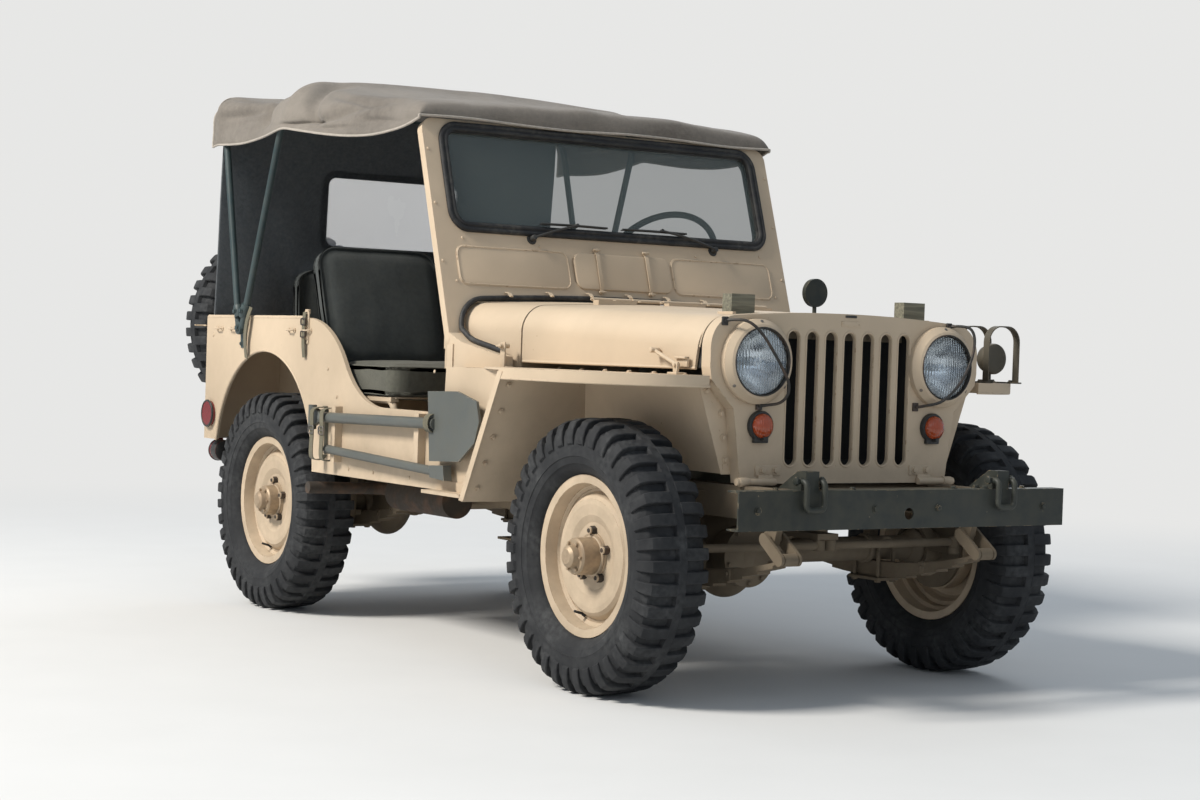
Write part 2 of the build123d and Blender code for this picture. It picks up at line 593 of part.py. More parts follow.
def wheel(side, y, reach):
    """Steel disc wheel with its hub, drum and nuts, from outlines of (outwards, radius)."""
    centre = HALF_TRACK
    lip = RIM_LIP_HALF
    wall = RIM_WALL
    rim = [(-lip, RIM_LIP_RADIUS), (-lip + 9, RIM_LIP_RADIUS), (-lip + 10, RIM_SEAT_RADIUS),
           (-30, RIM_SEAT_RADIUS - 3), (-22, RIM_WELL_RADIUS), (22, RIM_WELL_RADIUS),
           (30, RIM_SEAT_RADIUS - 3), (lip - 10, RIM_SEAT_RADIUS), (lip - 9, RIM_LIP_RADIUS),
           (lip, RIM_LIP_RADIUS), (lip - 2, RIM_SEAT_RADIUS - wall), (26, RIM_SEAT_RADIUS - wall - 5),
           (18, RIM_WELL_RADIUS - wall), (-18, RIM_WELL_RADIUS - wall),
           (-26, RIM_SEAT_RADIUS - wall - 5), (-lip + 2, RIM_SEAT_RADIUS - wall)]
    hub = [(-33, 46), (-33, SPINDLE_RADIUS + RUNNING), (61, SPINDLE_RADIUS + RUNNING), (61, 0),
           (reach, 0), (reach, 20), (reach - 6, 29), (reach - 24, 33), (reach - 24, 46), (reach - 29, 50),
           (42, 52), (38, 62), (25, 62), (25, 88), (18, 88), (12, 50)]
    drum = [(-33, DRUM_RADIUS), (DRUM_DEPTH - 33, DRUM_RADIUS), (DRUM_DEPTH - 33, 40),
            (DRUM_DEPTH - 39, 40), (DRUM_DEPTH - 39, DRUM_RADIUS - 8), (-33, DRUM_RADIUS - 8)]
    whole = None
    for outline in (rim, DISC, hub, drum):
        moved = [(centre + out, radius) for out, radius in outline]
        piece = lathe_x(moved, side, y, HUB_Z)
        whole = piece if whole is None else whole + piece
    for number in range(WHEEL_NUTS):
        turn = 2 * math.pi * number / WHEEL_NUTS + math.pi / 2
        nut_y = y + WHEEL_BOLT_CIRCLE / 2 * math.cos(turn)
        nut_z = HUB_Z + WHEEL_BOLT_CIRCLE / 2 * math.sin(turn)
        whole += rod((side * (centre + 24), nut_y, nut_z), (side * (centre + 50), nut_y, nut_z), 10)
    return whole


def tyre(side, y, centre=HALF_TRACK, z=HUB_Z):
    """Tyre carcass, open to the rim, from outlines of (outwards, radius)."""
    half = TYRE_WIDTH / 2
    tread = TREAD_WIDTH / 2
    wall = TYRE_WALL
    bead = RIM_LIP_HALF - 10 - RUNNING
    seat = RIM_SEAT_RADIUS + RUNNING
    right = [(tread, TYRE_RADIUS), (tread + 10, TYRE_RADIUS - 14), (half, TYRE_RADIUS - 68),
             (half - 1, TYRE_RADIUS - 96), (bead + 14, RIM_LIP_RADIUS + 4), (bead, RIM_LIP_RADIUS), (bead,
                                                            seat),
             (bead - 16, seat), (bead - 10, RIM_LIP_RADIUS + 10), (half - wall, TYRE_RADIUS - 92),
             (half - wall, TYRE_RADIUS - 60), (tread - 6, TYRE_RADIUS - 26)]
    outer = right[:8]
    inner = right[8:]
    outline = outer + inner + [(-out, radius) for out, radius in reversed(inner)]
    outline += [(-out, radius) for out, radius in reversed(outer)]
    moved = [(centre + out, radius) for out, radius in outline]
    return lathe_x(moved, side, y, z)


def apron_y(z):
    """Place along the car of the wing's sloping apron, at a height."""
    share = (WING_TOP_Z - z) / (WING_TOP_Z - APRON_LOW_Z)
    return APRON_TOP_Y + (APRON_LOW_Y - APRON_TOP_Y) * share


def tub_side(side):
    """Body side with its door opening, wheel arch and cowl side, as one plate."""
    top_start = (REAR_AXLE_Y - 346, TUB_TOP_Z)
    turn = DOOR_CURVE_ANGLE
    drop = 1 - math.cos(math.radians(turn))
    low_radius = (TUB_TOP_Z - DOOR_SILL_Z) / drop - DOOR_CURVE_RADIUS
    curve = JernArc(start=top_start, tangent=(-1, 0), radius=DOOR_CURVE_RADIUS, arc_size=turn)
    foot = JernArc(start=curve @ 1, tangent=curve % 1, radius=low_radius, arc_size=-turn)
    wing_under = WING_TOP_Z - WING_SHEET - RUNNING
    behind_apron = WING_SHEET + RUNNING
    arch_y = REAR_AXLE_Y - 12
    arch_z = ARCH_TOP_Z - ARCH_RADIUS
    rear_half = math.sqrt(ARCH_RADIUS ** 2 - (TUB_LOW_REAR_Z - arch_z) ** 2)
    front_half = math.sqrt(ARCH_RADIUS ** 2 - (SILL_Z - arch_z) ** 2)
    outline = Line((TUB_REAR_Y, TUB_TOP_Z), top_start) + curve + foot
    outline += Polyline(
        foot @ 1, (POST_Y, DOOR_SILL_Z), (POST_Y - 8, LEDGE_TOP_Z + 1),
        (WING_BACK_Y + RUNNING, LEDGE_TOP_Z + 1), (WING_BACK_Y + RUNNING, wing_under),
        (apron_y(wing_under) + behind_apron, wing_under),
        (apron_y(SILL_Z) + behind_apron, SILL_Z), (arch_y - front_half, SILL_Z))
    outline += ThreePointArc((arch_y - front_half, SILL_Z), (arch_y, ARCH_TOP_Z),
                             (arch_y + rear_half, TUB_LOW_REAR_Z))
    outline += Polyline((arch_y + rear_half, TUB_LOW_REAR_Z), (TUB_REAR_Y, TUB_LOW_REAR_Z),
                        (TUB_REAR_Y, TUB_TOP_Z))
    return on_side(side_plate(outline, INSIDE, TUB_HALF), side)


def tub_floor():
    """Floor pans at two levels, with the step between them."""
    front = block((-INSIDE, INSIDE), (SEAM_Y + 10, FLOOR_STEP_Y), (FLOOR_Z, FLOOR_Z + FLOOR_THICK))
    front += block((-INSIDE, INSIDE), (FLOOR_STEP_Y - 12, FLOOR_STEP_Y),
                   (FLOOR_Z, REAR_FLOOR_Z + FLOOR_THICK))
    house = FLOOR_STEP_Y + 34
    rear = block((-INSIDE, INSIDE), (FLOOR_STEP_Y - 6, house), (REAR_FLOOR_Z, REAR_FLOOR_Z + FLOOR_THICK))
    reach = WHEELHOUSE_IN_X + 8
    rear += block((-reach, reach), (FLOOR_STEP_Y, TUB_REAR_Y - SHEET),
                  (REAR_FLOOR_Z, REAR_FLOOR_Z + FLOOR_THICK))
    return front + rear + wheelhouse(-1) + wheelhouse(1)


def rear_panel():
    """Fixed rear wall of the tub."""
    return block((-INSIDE, INSIDE), (TUB_REAR_Y - SHEET, TUB_REAR_Y), (TUB_LOW_REAR_Z, TUB_TOP_Z))


def wheelhouse(side):
    """Box over a rear wheel, open below and to the outside."""
    low = REAR_FLOOR_Z + FLOOR_THICK
    front = FLOOR_STEP_Y + 22
    rear = TUB_REAR_Y - SHEET
    wall = 8
    outer = side_plate(polygon((front, low), (front, WHEELHOUSE_TOP_Z - 90), (front + 90, WHEELHOUSE_TOP_Z),
                               (rear, WHEELHOUSE_TOP_Z), (rear, low)), WHEELHOUSE_IN_X, INSIDE)
    inner = side_plate(polygon((front + wall, low - 1), (front + wall, WHEELHOUSE_TOP_Z - 93),
                               (front + 93, WHEELHOUSE_TOP_Z - wall), (rear - wall, WHEELHOUSE_TOP_Z - wall),
                               (rear - wall, low - 1)), WHEELHOUSE_IN_X + wall, INSIDE + 1)
    return on_side(outer - inner, side)


def cowl_stations():
    """Arches of the cowl at the bonnet seam and at the dash."""
    front = [BONNET_REAR_HALF, LEDGE_Z, 985, 78, BONNET_REAR_TOP_Z, SEAM_Y]
    rear = [COWL_REAR_HALF, LEDGE_Z, 990, 90, COWL_REAR_TOP_Z, DASH_Y]
    return front, rear


def cowl():
    """Arched cowl with the firewall, toe board and the ledges that close it to the body sides."""
    front, rear = cowl_stations()
    shell = arch_shell((front, rear), BONNET_SHEET)
    low = front[1]
    wall = extrude(arch(front[0] - 1, low - 1, front[2], front[3], front[4] - 1, SEAM_Y + 8), 8,
                   dir=(0, 1, 0))
    wall += block((-INSIDE + RUNNING, INSIDE - RUNNING), (SEAM_Y + 8, SEAM_Y + 16),
                  (FLOOR_Z + FLOOR_THICK, low))
    for side in (-1, 1):
        ledge = flat_plate(polygon((side * (front[0] - 6), SEAM_Y + 8), (side * (rear[0] - 20), POST_Y),
                                   (side * (INSIDE - RUNNING), POST_Y), (side * (INSIDE - RUNNING),
                                                            SEAM_Y + 8)),
                           low, LEDGE_TOP_Z)
        wall += ledge
    share = (SEAM_Y + 12 - COLUMN_LOW[1]) / (COLUMN_TOP[1] - COLUMN_LOW[1])
    wall -= rod(column_point(share - 0.15), column_point(share + 0.15), 22 + RUNNING)
    for low, high in ((-184, -76), (76, 184)):
        shell += hinge_leaf(low, high, 1)
    shell += rod((-336, SEAM_Y, HINGE_Z), (336, SEAM_Y, HINGE_Z), HINGE_PIN)
    return shell + wall + dash()


def dash():
    """Instrument panel under the windscreen."""
    rear = cowl_stations()[1]
    panel = extrude(arch(rear[0], rear[1] + 40, rear[2], rear[3], rear[4], DASH_Y - 1), 9, dir=(0, 1, 0))
    panel -= block((-rear[0] - 1, rear[0] + 1), (DASH_Y - 2, DASH_Y + 20), (rear[1], SCREEN_LOW_Z + 5))
    share = (DASH_Y + 4 - COLUMN_LOW[1]) / (COLUMN_TOP[1] - COLUMN_LOW[1])
    return panel - rod(column_point(share - 0.1), column_point(share + 0.1), 22 + MOVING)


def grille_panel():
    """Front panel with slots, headlight holes and a turned-back rim."""
    corner = 88
    section = [GRILLE_HALF, 905, GRILLE_TOP_Z - 16 - corner, corner, GRILLE_TOP_Z]
    block_part = extrude(arch(*section, GRILLE_FACE_Y), GRILLE_DEPTH, dir=(0, 1, 0))
    lower = Plane.XZ * make_face(polygon(
        (-GRILLE_HALF, 906), (-GRILLE_HALF + 6, 872), (-400, 795), (-392, 752), (-370, GRILLE_LOW_Z),
        (370, GRILLE_LOW_Z), (392, 752), (400, 795), (GRILLE_HALF - 6, 872), (GRILLE_HALF, 906)))
    block_part += Pos(0, GRILLE_FACE_Y, 0) * extrude(lower, -GRILLE_DEPTH)
    sheet = 7
    hollow = extrude(arch(GRILLE_HALF - sheet, 904, section[2], corner, GRILLE_TOP_Z - sheet,
                          GRILLE_FACE_Y + sheet),
                     GRILLE_DEPTH, dir=(0, 1, 0))
    inner = Plane.XZ * make_face(polygon(
        (-GRILLE_HALF + sheet, 907), (-GRILLE_HALF + 6 + sheet, 875), (-400 + sheet, 797), (-392 + sheet,
                                                            752),
        (-370 + sheet, GRILLE_LOW_Z - 1), (370 - sheet, GRILLE_LOW_Z - 1), (392 - sheet, 752), (400 - sheet,
                                                            797),
        (GRILLE_HALF - 6 - sheet, 875), (GRILLE_HALF - sheet, 907)))
    hollow += Pos(0, GRILLE_FACE_Y + sheet, 0) * extrude(inner, -GRILLE_DEPTH)
    panel = block_part - hollow
    slot_middle = (SLOT_LOW_Z + SLOT_TOP_Z) / 2
    slot = SlotOverall(SLOT_TOP_Z - SLOT_LOW_Z, SLOT_WIDTH, rotation=90)
    for number in range(SLOTS):
        x = (number - (SLOTS - 1) / 2) * SLOT_PITCH
        place = Plane(origin=(x, GRILLE_FACE_Y - 5, slot_middle), x_dir=(1, 0, 0), z_dir=(0, -1, 0))
        panel -= extrude(place * slot, -30)
    for side in (-1, 1):
        x = side * HEADLIGHT_X
        panel -= rod((x, GRILLE_FACE_Y - 5, HEADLIGHT_Z), (x, GRILLE_REAR_Y, HEADLIGHT_Z), LENS_RADIUS + 8)
    return panel


def headlights():
    """Bezels, buckets and lenses in the grille panel."""
    face = GRILLE_FACE_Y
    lamps = []
    lenses = []
    for side in (-1, 1):
        outline = [(face - RUNNING, LENS_RADIUS + 5), (face - RUNNING, BEZEL_RADIUS),
                   (face - 18, BEZEL_RADIUS),
                   (face - 34, LENS_RADIUS + 12), (face - 38, LENS_RADIUS + 4), (face - 30, LENS_RADIUS + 2),
                   (face + 20, LENS_RADIUS + 2), (face + 70, 60), (face + 78, 0), (face + 84, 0), (face + 76,
                                                            66),
                   (face + 24, LENS_RADIUS + 7), (face - RUNNING, LENS_RADIUS + 7)]
        lamps.append(lathe_y(outline, side * HEADLIGHT_X, HEADLIGHT_Z))
        lens = [(face - 42, 0), (face - 38, 45), (face - 29, LENS_RADIUS + 1.5),
                (face - 24, LENS_RADIUS + 1.5),
                (face - 32, 45), (face - 36, 0)]
        lenses.append(lathe_y(lens, side * HEADLIGHT_X, HEADLIGHT_Z))
    return lamps, lenses


def turn_signals():
    """Amber lamps under the headlights, flat at the bottom."""
    lamps = []
    face = GRILLE_FACE_Y - RUNNING
    for side in (-1, 1):
        lamp = lathe_y([(face, 0), (face, SIGNAL_RADIUS), (face - 10, SIGNAL_RADIUS), (face - 22, 26),
                        (face - 24, 0)],
                       side * SIGNAL_X, SIGNAL_Z)
        x = side * SIGNAL_X
        lamp -= block((x - 50, x + 50), (face - 40, face + 10), (SIGNAL_Z - 60, SIGNAL_Z - SIGNAL_RADIUS + 9))
        lamps.append(lamp)
    return lamps


def radiator():
    """Core with its tanks, behind the slots."""
    front = GRILLE_REAR_Y + 12
    core = block((-222, 222), (front, front + 60), (650, 1000))
    core += block((-228, 228), (front - 6, front + 66), (995, 1030))
    core += block((-228, 228), (front - 6, front + 66), (RAIL_FRONT_Z + RUNNING, 655))
    return core


def engine_block():
    """One plain block at the engine's real place and size."""
    front = GRILLE_REAR_Y + 150
    return block((-ENGINE_RIGHT, ENGINE_LEFT), (front, SEAM_Y - 30), (HUB_Z + 132, 930))


def gearbox():
    """Gearbox and transfer case under the floor, with the skid plate."""
    body = block((-110, 110), (SEAM_Y, SEAM_Y + 331), (395, 505))
    body += block((-150, 150), (SEAM_Y - 30 + RUNNING, SEAM_Y + 1), (400, 640))
    body += block((-250, 60), (SEAM_Y + 330, SEAM_Y + 520), (340, 510))
    body += rod((DIFF_X, SEAM_Y + 300, HUB_Z + 60), (DIFF_X, SEAM_Y + 560, HUB_Z + 60), 46)
    skid = block((-300, 300), (SEAM_Y + 250, SEAM_Y + 560), (318, 326))
    skid += block((-30, 30), (SEAM_Y + 400, SEAM_Y + 450), (325, 345))
    return body + skid


def propeller_shafts():
    """Shafts from the transfer case to both axles."""
    shafts = []
    z = HUB_Z + 60
    for start, end, towards in ((SEAM_Y + 300, FRONT_AXLE_Y + 210, -1), (SEAM_Y + 560, REAR_AXLE_Y - 210, 1)):
        near = start + RUNNING * towards
        far = end - RUNNING * towards
        shaft = rod((DIFF_X, near, z), (DIFF_X, near + 34 * towards, z), 38)
        shaft += rod((DIFF_X, far - 34 * towards, HUB_Z), (DIFF_X, far, HUB_Z), 38)
        shaft += rod((DIFF_X, near + 20 * towards, z), (DIFF_X, far - 20 * towards, HUB_Z), 24)
        shafts.append(shaft)
    return shafts


def exhaust():
    """Silencer under the floor with its tail pipe on the right."""
    y = REAR_AXLE_Y - TYRE_RADIUS - 40
    x = -RAIL_OUT - 78
    silencer = rod((x, y - 500, 440), (x, y - 110, 440), 56)
    silencer += pipe(((x, y - 120, 440), (x, y, 446), (-TUB_HALF - 12, y + 4, 452)), 20, 40)
    for hanger_y in (y - 440, y - 180):
        silencer += rod((x, hanger_y, 480), (-RAIL_OUT - RUNNING, hanger_y, 480), 9)
    return silencer


def shock_absorbers():
    """Telescopic dampers between the axles and the rails."""
    dampers = []
    x = RAIL_OUT + 40
    for y, top_z in ((FRONT_AXLE_Y + 92, 606), (REAR_AXLE_Y - 92, 560)):
        for side in (-1, 1):
            low_z = HUB_Z - 52
            damper = rod((side * x, y, low_z), (side * x, y, top_z - 110), 22)
            damper += rod((side * x, y, top_z - 150), (side * x, y, top_z), 27)
            damper += rod((side * (RAIL_OUT + RUNNING), y, top_z - 60), (side * x, y, top_z - 60), 10)
            damper += rod((side * RAIL_OUT, y, low_z + 14), (side * x, y, low_z + 14), 10)
            dampers.append(damper)
    return dampers


def wing(side):
    """Front wing: flat top with a rounded lip, sloping rear apron and inner panel."""
    front = GRILLE_FACE_Y - 6
    inner_x = INNER_EDGE_X
    corner = WING_CORNER
    middle = (WING_HALF - corner, front + corner)
    slant = corner * math.sqrt(0.5)
    outline = Polyline((inner_x, WING_BACK_Y), (TUB_HALF, WING_BACK_Y), (WING_HALF, APRON_TOP_Y),
                       (WING_HALF, middle[1]))
    outline += ThreePointArc((WING_HALF, middle[1]), (middle[0] + slant, middle[1] - slant),
                             (middle[0], front))
    step_x = GRILLE_HALF + MOVING
    outline += Polyline((middle[0], front), (step_x, front), (step_x, GRILLE_REAR_Y + RUNNING),
                        (inner_x, GRILLE_REAR_Y + RUNNING), (inner_x, WING_BACK_Y))
    top = flat_plate(outline, WING_TOP_Z - WING_LIP, WING_TOP_Z)
    wall = WING_SHEET
    slant = (corner - wall) * math.sqrt(0.5)
    inside = Polyline((inner_x - 1, WING_BACK_Y + 1), (WING_HALF - wall, WING_BACK_Y + 1),
                      (WING_HALF - wall, middle[1]))
    inside += ThreePointArc((WING_HALF - wall, middle[1]), (middle[0] + slant, middle[1] - slant),
                            (middle[0], front + wall))
    near = GRILLE_REAR_Y + 2 + wall
    inside += Polyline((middle[0], front + wall), (step_x + wall, front + wall), (step_x + wall, near),
                       (inner_x - 1, near), (inner_x - 1, WING_BACK_Y + 1))
    top -= flat_plate(inside, WING_TOP_Z - WING_LIP - 1, WING_TOP_Z - wall)
    apron = side_plate(polygon((APRON_TOP_Y - wall, WING_TOP_Z - 1), (APRON_TOP_Y + wall, WING_TOP_Z - 1),
                               (APRON_LOW_Y + wall, APRON_LOW_Z), (APRON_LOW_Y - wall,
                                                            APRON_LOW_Z)), inner_x, WING_HALF)
    apron -= block((inner_x - 1, RAIL_OUT + 80), (APRON_TOP_Y, APRON_LOW_Y + 20),
                   (APRON_LOW_Z - 1, RAIL_FRONT_Z + 23))
    panel_low = RAIL_FRONT_Z + 30
    section = polygon_face_y(((INNER_PANEL_TOP_X, WING_TOP_Z - 2), (INNER_PANEL_TOP_X + wall, WING_TOP_Z - 2),
                              (INNER_PANEL_LOW_X + wall, panel_low), (INNER_PANEL_LOW_X,
                                                            panel_low)), GRILLE_REAR_Y + 2)
    panel = extrude(section, WING_BACK_Y - GRILLE_REAR_Y - 2, dir=(0, 1, 0))
    closing = block((INNER_PANEL_LOW_X + 4, INSIDE), (WING_BACK_Y - 8, WING_BACK_Y),
                    (panel_low, WING_TOP_Z - 2))
    whole = top + apron + panel + closing
    whole -= rod((HEADLIGHT_X, GRILLE_FACE_Y, HEADLIGHT_Z), (HEADLIGHT_X, GRILLE_FACE_Y + 92, HEADLIGHT_Z),
                 LENS_RADIUS + 13)
    return on_side(whole, side)


def bonnet_stations():
    """Arches of the bonnet behind the grille and at the seam."""
    corner = 88
    front = [GRILLE_HALF - 2, BONNET_LOW_Z, GRILLE_TOP_Z - 18 - corner, corner, GRILLE_TOP_Z - 2,
             GRILLE_REAR_Y + MOVING + 1]
    rear = [BONNET_REAR_HALF - 2, BONNET_LOW_Z, 985, 78, BONNET_REAR_TOP_Z - 1, SEAM_Y - MOVING]
    return front, rear


def bonnet():
    """Bonnet: an arched lid that is hinged along its rear edge."""
    front, rear = bonnet_stations()
    lid = arch_shell((front, rear), BONNET_SHEET)
    face = front[5]
    tilt = 25
    lid -= side_plate(polygon((face - 5, GRILLE_TOP_Z + 30), (face, GRILLE_TOP_Z + 30),
                              (face, GRILLE_TOP_Z - 20),
                              (face + tilt, BONNET_LOW_Z - 5), (face - 5, BONNET_LOW_Z - 5)), -800, 800)
    for low, high in ((-330, -190), (-70, 70), (190, 330)):
        lid += hinge_leaf(low, high, -1)
    return lid - rod((-400, SEAM_Y, HINGE_Z), (400, SEAM_Y, HINGE_Z), HINGE_PIN + RUNNING)


def hinge_leaf(low, high, towards):
    """One leaf of the bonnet hinge with its barrel, in front of the seam or behind it."""
    leaf = block((low, high), sorted((SEAM_Y + towards * MOVING, SEAM_Y + towards * 34)),
                 (BONNET_REAR_TOP_Z - 15, HINGE_Z - 2))
    return leaf + rod((low, SEAM_Y, HINGE_Z), (high, SEAM_Y, HINGE_Z), 6)


def bonnet_blocks():
    """Wooden blocks that carry the folded windscreen."""
    blocks = []
    front, rear = ([half, low, shoulder, corner, top + RUNNING, y] for half, low, shoulder, corner, top,
                   y in bonnet_stations())
    under = loft([arch(*front), arch(*rear)])
    near = GRILLE_FACE_Y + 88
    for side in (-1, 1):
        x = side * 312
        timber = block((x - 40, x + 40), (near, near + 42), (GRILLE_TOP_Z - 40, GRILLE_TOP_Z + 44))
        blocks.append(timber - under)
    return blocks


def screen_plane():
    """Plane of the windscreen's front face, with its first axis across and its second up the rake."""
    rake = math.radians(SCREEN_RAKE)
    return Plane(origin=(0, SCREEN_BASE_Y, SCREEN_BASE_Z), x_dir=(1, 0, 0),
                 z_dir=(0, -math.cos(rake), math.sin(rake)))


def up_rake(z):
    """Distance up the rake to a height."""
    return (z - SCREEN_BASE_Z) / math.cos(math.radians(SCREEN_RAKE))


def screen_sheet(half, low_z, high_z, radius, front, rear):
    """Rounded plate in the plane of the windscreen."""
    low, high = up_rake(low_z), up_rake(high_z)
    sketch = Pos(0, (low + high) / 2) * RectangleRounded(2 * half, high - low, radius)
    plane = screen_plane()
    return plane.offset(-rear) * extrude(sketch, rear - front)


def windscreen_frame():
    """Raked frame with its glass opening, its cut-out over the cowl and its side arms."""
    frame = screen_sheet(SCREEN_HALF, SCREEN_LOW_Z, SCREEN_TOP_Z, 42, 0, SCREEN_THICK)
    frame -= screen_sheet(GLASS_HALF, GLASS_LOW_Z, GLASS_TOP_Z, 48, -5, SCREEN_THICK + 5)
    grown = [COWL_REAR_HALF + 4, SCREEN_LOW_Z - 90, 990, 90, COWL_REAR_TOP_Z + 5]
    frame -= extrude(arch(*grown, SCREEN_BASE_Y - 160), 300, dir=(0, 1, 0))
    frame -= screen_sheet(SCREEN_HALF - 36, SCREEN_BASE_Z + 22, GLASS_LOW_Z - 18, 14, 10, SCREEN_THICK + 5)
    for x in (-405, 0, 405):
        frame -= Pos(x, 0, 0) * screen_sheet(190, SCREEN_BASE_Z + 42, SCREEN_BASE_Z + 140, 30, -5, 4)
    rear_y = SCREEN_BASE_Y - 42
    low_z = LEDGE_TOP_Z + RUNNING
    tip_y = SEAM_Y + 20
    arm = flat_plate(polygon((SCREEN_HALF, rear_y), (COWL_REAR_HALF + 5, rear_y),
                             (BONNET_REAR_HALF + 14, tip_y),
                             (BONNET_REAR_HALF + 48, tip_y)), low_z, SCREEN_LOW_Z + 60)
    arm &= side_plate(polygon((rear_y + 1, low_z - 1), (rear_y + 1, SCREEN_LOW_Z + 55),
                              (rear_y - 60, SCREEN_LOW_Z + 26),
                              (tip_y - 1, SCREEN_LOW_Z - 12), (tip_y - 1, low_z - 1)), 0, SCREEN_HALF + 1)
    arm += block((COWL_REAR_HALF + 5, SCREEN_HALF), (rear_y - 24, rear_y + 10), (low_z, SCREEN_LOW_Z + 20))
    return frame + arm + mirrored(arm)


def windscreen_glass():
    """Glass pane inside its rubber seal."""
    seal = screen_sheet(GLASS_HALF - RUNNING, GLASS_LOW_Z + RUNNING, GLASS_TOP_Z - RUNNING, 48, -4, 18)
    seal -= screen_sheet(GLASS_HALF - SEAL_WIDTH, GLASS_LOW_Z + SEAL_WIDTH, GLASS_TOP_Z - SEAL_WIDTH, 36,
                         -10, 30)
    pane = screen_sheet(GLASS_HALF - SEAL_WIDTH - RUNNING, GLASS_LOW_Z + SEAL_WIDTH + RUNNING,
                        GLASS_TOP_Z - SEAL_WIDTH - RUNNING, 36, 6, 6 + GLASS_THICK)
    return seal, pane


def wipers():
    """Two wipers parked along the foot of the glass."""
    plane = screen_plane()
    shapes = []
    for pivot, tip in ((-150, -330), (330, 120)):
        low = plane.from_local_coords((pivot, up_rake(GLASS_LOW_Z) - 26, 0))
        high = plane.from_local_coords((pivot, up_rake(GLASS_LOW_Z) - 26, 22))
        wiper = rod(tuple(low), tuple(high), 9)
        end = plane.from_local_coords((tip, up_rake(GLASS_LOW_Z) + 4, 18))
        wiper += rod(tuple(plane.from_local_coords((pivot, up_rake(GLASS_LOW_Z) - 26, 18))), tuple(end), 4)
        shapes.append(wiper)
    return shapes


def canvas_stations():
    """Arches of the canvas roof, from the windscreen to its rear hem."""
    front_bow = REAR_AXLE_Y + FRONT_BOW_FROM_AXLE
    rear_bow = REAR_AXLE_Y + REAR_BOW_FROM_AXLE
    front = SCREEN_BASE_Y + math.tan(math.radians(SCREEN_RAKE)) * (SCREEN_TOP_Z - 6 - SCREEN_BASE_Z) - RUNNING
    return (
        [SCREEN_HALF + 14, SCREEN_TOP_Z - 6, SCREEN_TOP_Z + 8, 45, SCREEN_TOP_Z + 68, front],
        [CANVAS_HALF, 1664, CANVAS_TOP_Z - 164, 165, CANVAS_TOP_Z, front_bow],
        [CANVAS_HALF, 1640, CANVAS_TOP_Z - 100, 68, CANVAS_TOP_Z - 18, rear_bow],
        [CANVAS_HALF - 8, 1636, CANVAS_TOP_Z - 130, 68, CANVAS_TOP_Z - 48, rear_bow + 46],
    )


def canvas_roof():
    """Canvas roof sheet with its side skirts and front flap."""
    stations = canvas_stations()
    roof = arch_shell(stations, CANVAS_THICK)
    front = stations[0]
    flap = extrude(arch(*front), 8, dir=(0, -1, 0))
    return roof + flap


def bows():
    """Two tube bows with their pivot brackets on the body sides."""
    stations = canvas_stations()
    pivot_y = REAR_AXLE_Y + BOW_PIVOT_FROM_AXLE
    pivot_z = TUB_TOP_Z - 40
    shapes = []
    for station, lean, bend in ((stations[1], -1, FRONT_BOW_BEND), (stations[2], 1, REAR_BOW_BEND)):
        y = station[5]
        top = station[4] - CANVAS_THICK - 18 - BOW_RADIUS - RUNNING
        x = BOW_X
        foot = (BOW_PIVOT_X, pivot_y + 14 * lean, pivot_z)
        points = (foot, (x, y, top), (-x, y, top), (-foot[0], foot[1], foot[2]))
        shapes.append(pipe(points, BOW_RADIUS, bend))
    for side in (-1, 1):
        plate = side_plate(polygon((pivot_y - 32, pivot_z + 26), (pivot_y + 32, pivot_z + 26),
                                   (pivot_y + 20, pivot_z - 70),
                                   (pivot_y - 20, pivot_z - 70)), TUB_HALF + RUNNING, TUB_HALF + 3)
        shapes.append(on_side(plate, side))
    return shapes


def rear_curtain():
    """Canvas curtain from the rear bow to the tub, with its window opening."""
    station = canvas_stations()[2]
    y = station[5] + BOW_RADIUS + RUNNING
    low_y = TUB_REAR_Y - SHEET - 6 - RUNNING
    top = station[4] - CANVAS_THICK - 40
    low = TUB_TOP_Z - 34
    half = TUB_HALF - 20
    outline = polygon((y, top), (y + 6, top), (low_y + 6, TUB_TOP_Z), (low_y + 6, low), (low_y, low),
                      (low_y, TUB_TOP_Z))
    sheet = side_plate(outline, -half, half)
    opening = block((-WINDOW_HALF, WINDOW_HALF), (y - 40, low_y + 40), (WINDOW_LOW_Z, WINDOW_TOP_Z))
    pane = sheet & block((-WINDOW_HALF + RUNNING, WINDOW_HALF - RUNNING), (y - 40, low_y + 40),
                         (WINDOW_LOW_Z + RUNNING, WINDOW_TOP_Z - RUNNING))
    return sheet - opening, pane


def backrest_y(z):
    """Place along the car of a front backrest's front face, at a height."""
    return SEAT_REAR_Y + 16 + BACKREST_LEAN * (z - SEAT_TOP_Z)


def backrest_tube(x, low):
    """Upright tube in the middle of a backrest, from a height."""
    middle = BACKREST_THICK / 2
    high = BACKREST_TOP_Z - 160
    return (x, backrest_y(low) + middle, low), (x, backrest_y(high) + middle, high)


def seat(x):
    """Bucket seat's cushion and backrest, as two plain soft solids."""
    half = SEAT_WIDTH / 2
    cushion = block((x - half, x + half), (SEAT_FRONT_Y, SEAT_REAR_Y), (SEAT_TOP_Z - 90, SEAT_TOP_Z))
    low = SEAT_TOP_Z + 18
    back = side_plate(polygon((backrest_y(low), low), (backrest_y(low) + BACKREST_THICK, low),
                              (backrest_y(BACKREST_TOP_Z) + BACKREST_THICK, BACKREST_TOP_Z),
                              (backrest_y(BACKREST_TOP_Z), BACKREST_TOP_Z)), x - half, x + half)
    for side in (-1, 1):
        start, end = backrest_tube(x + side * BACKREST_TUBE_X, low - 5)
        back -= rod(start, end, BACKREST_TUBE + RUNNING)
    return cushion, back


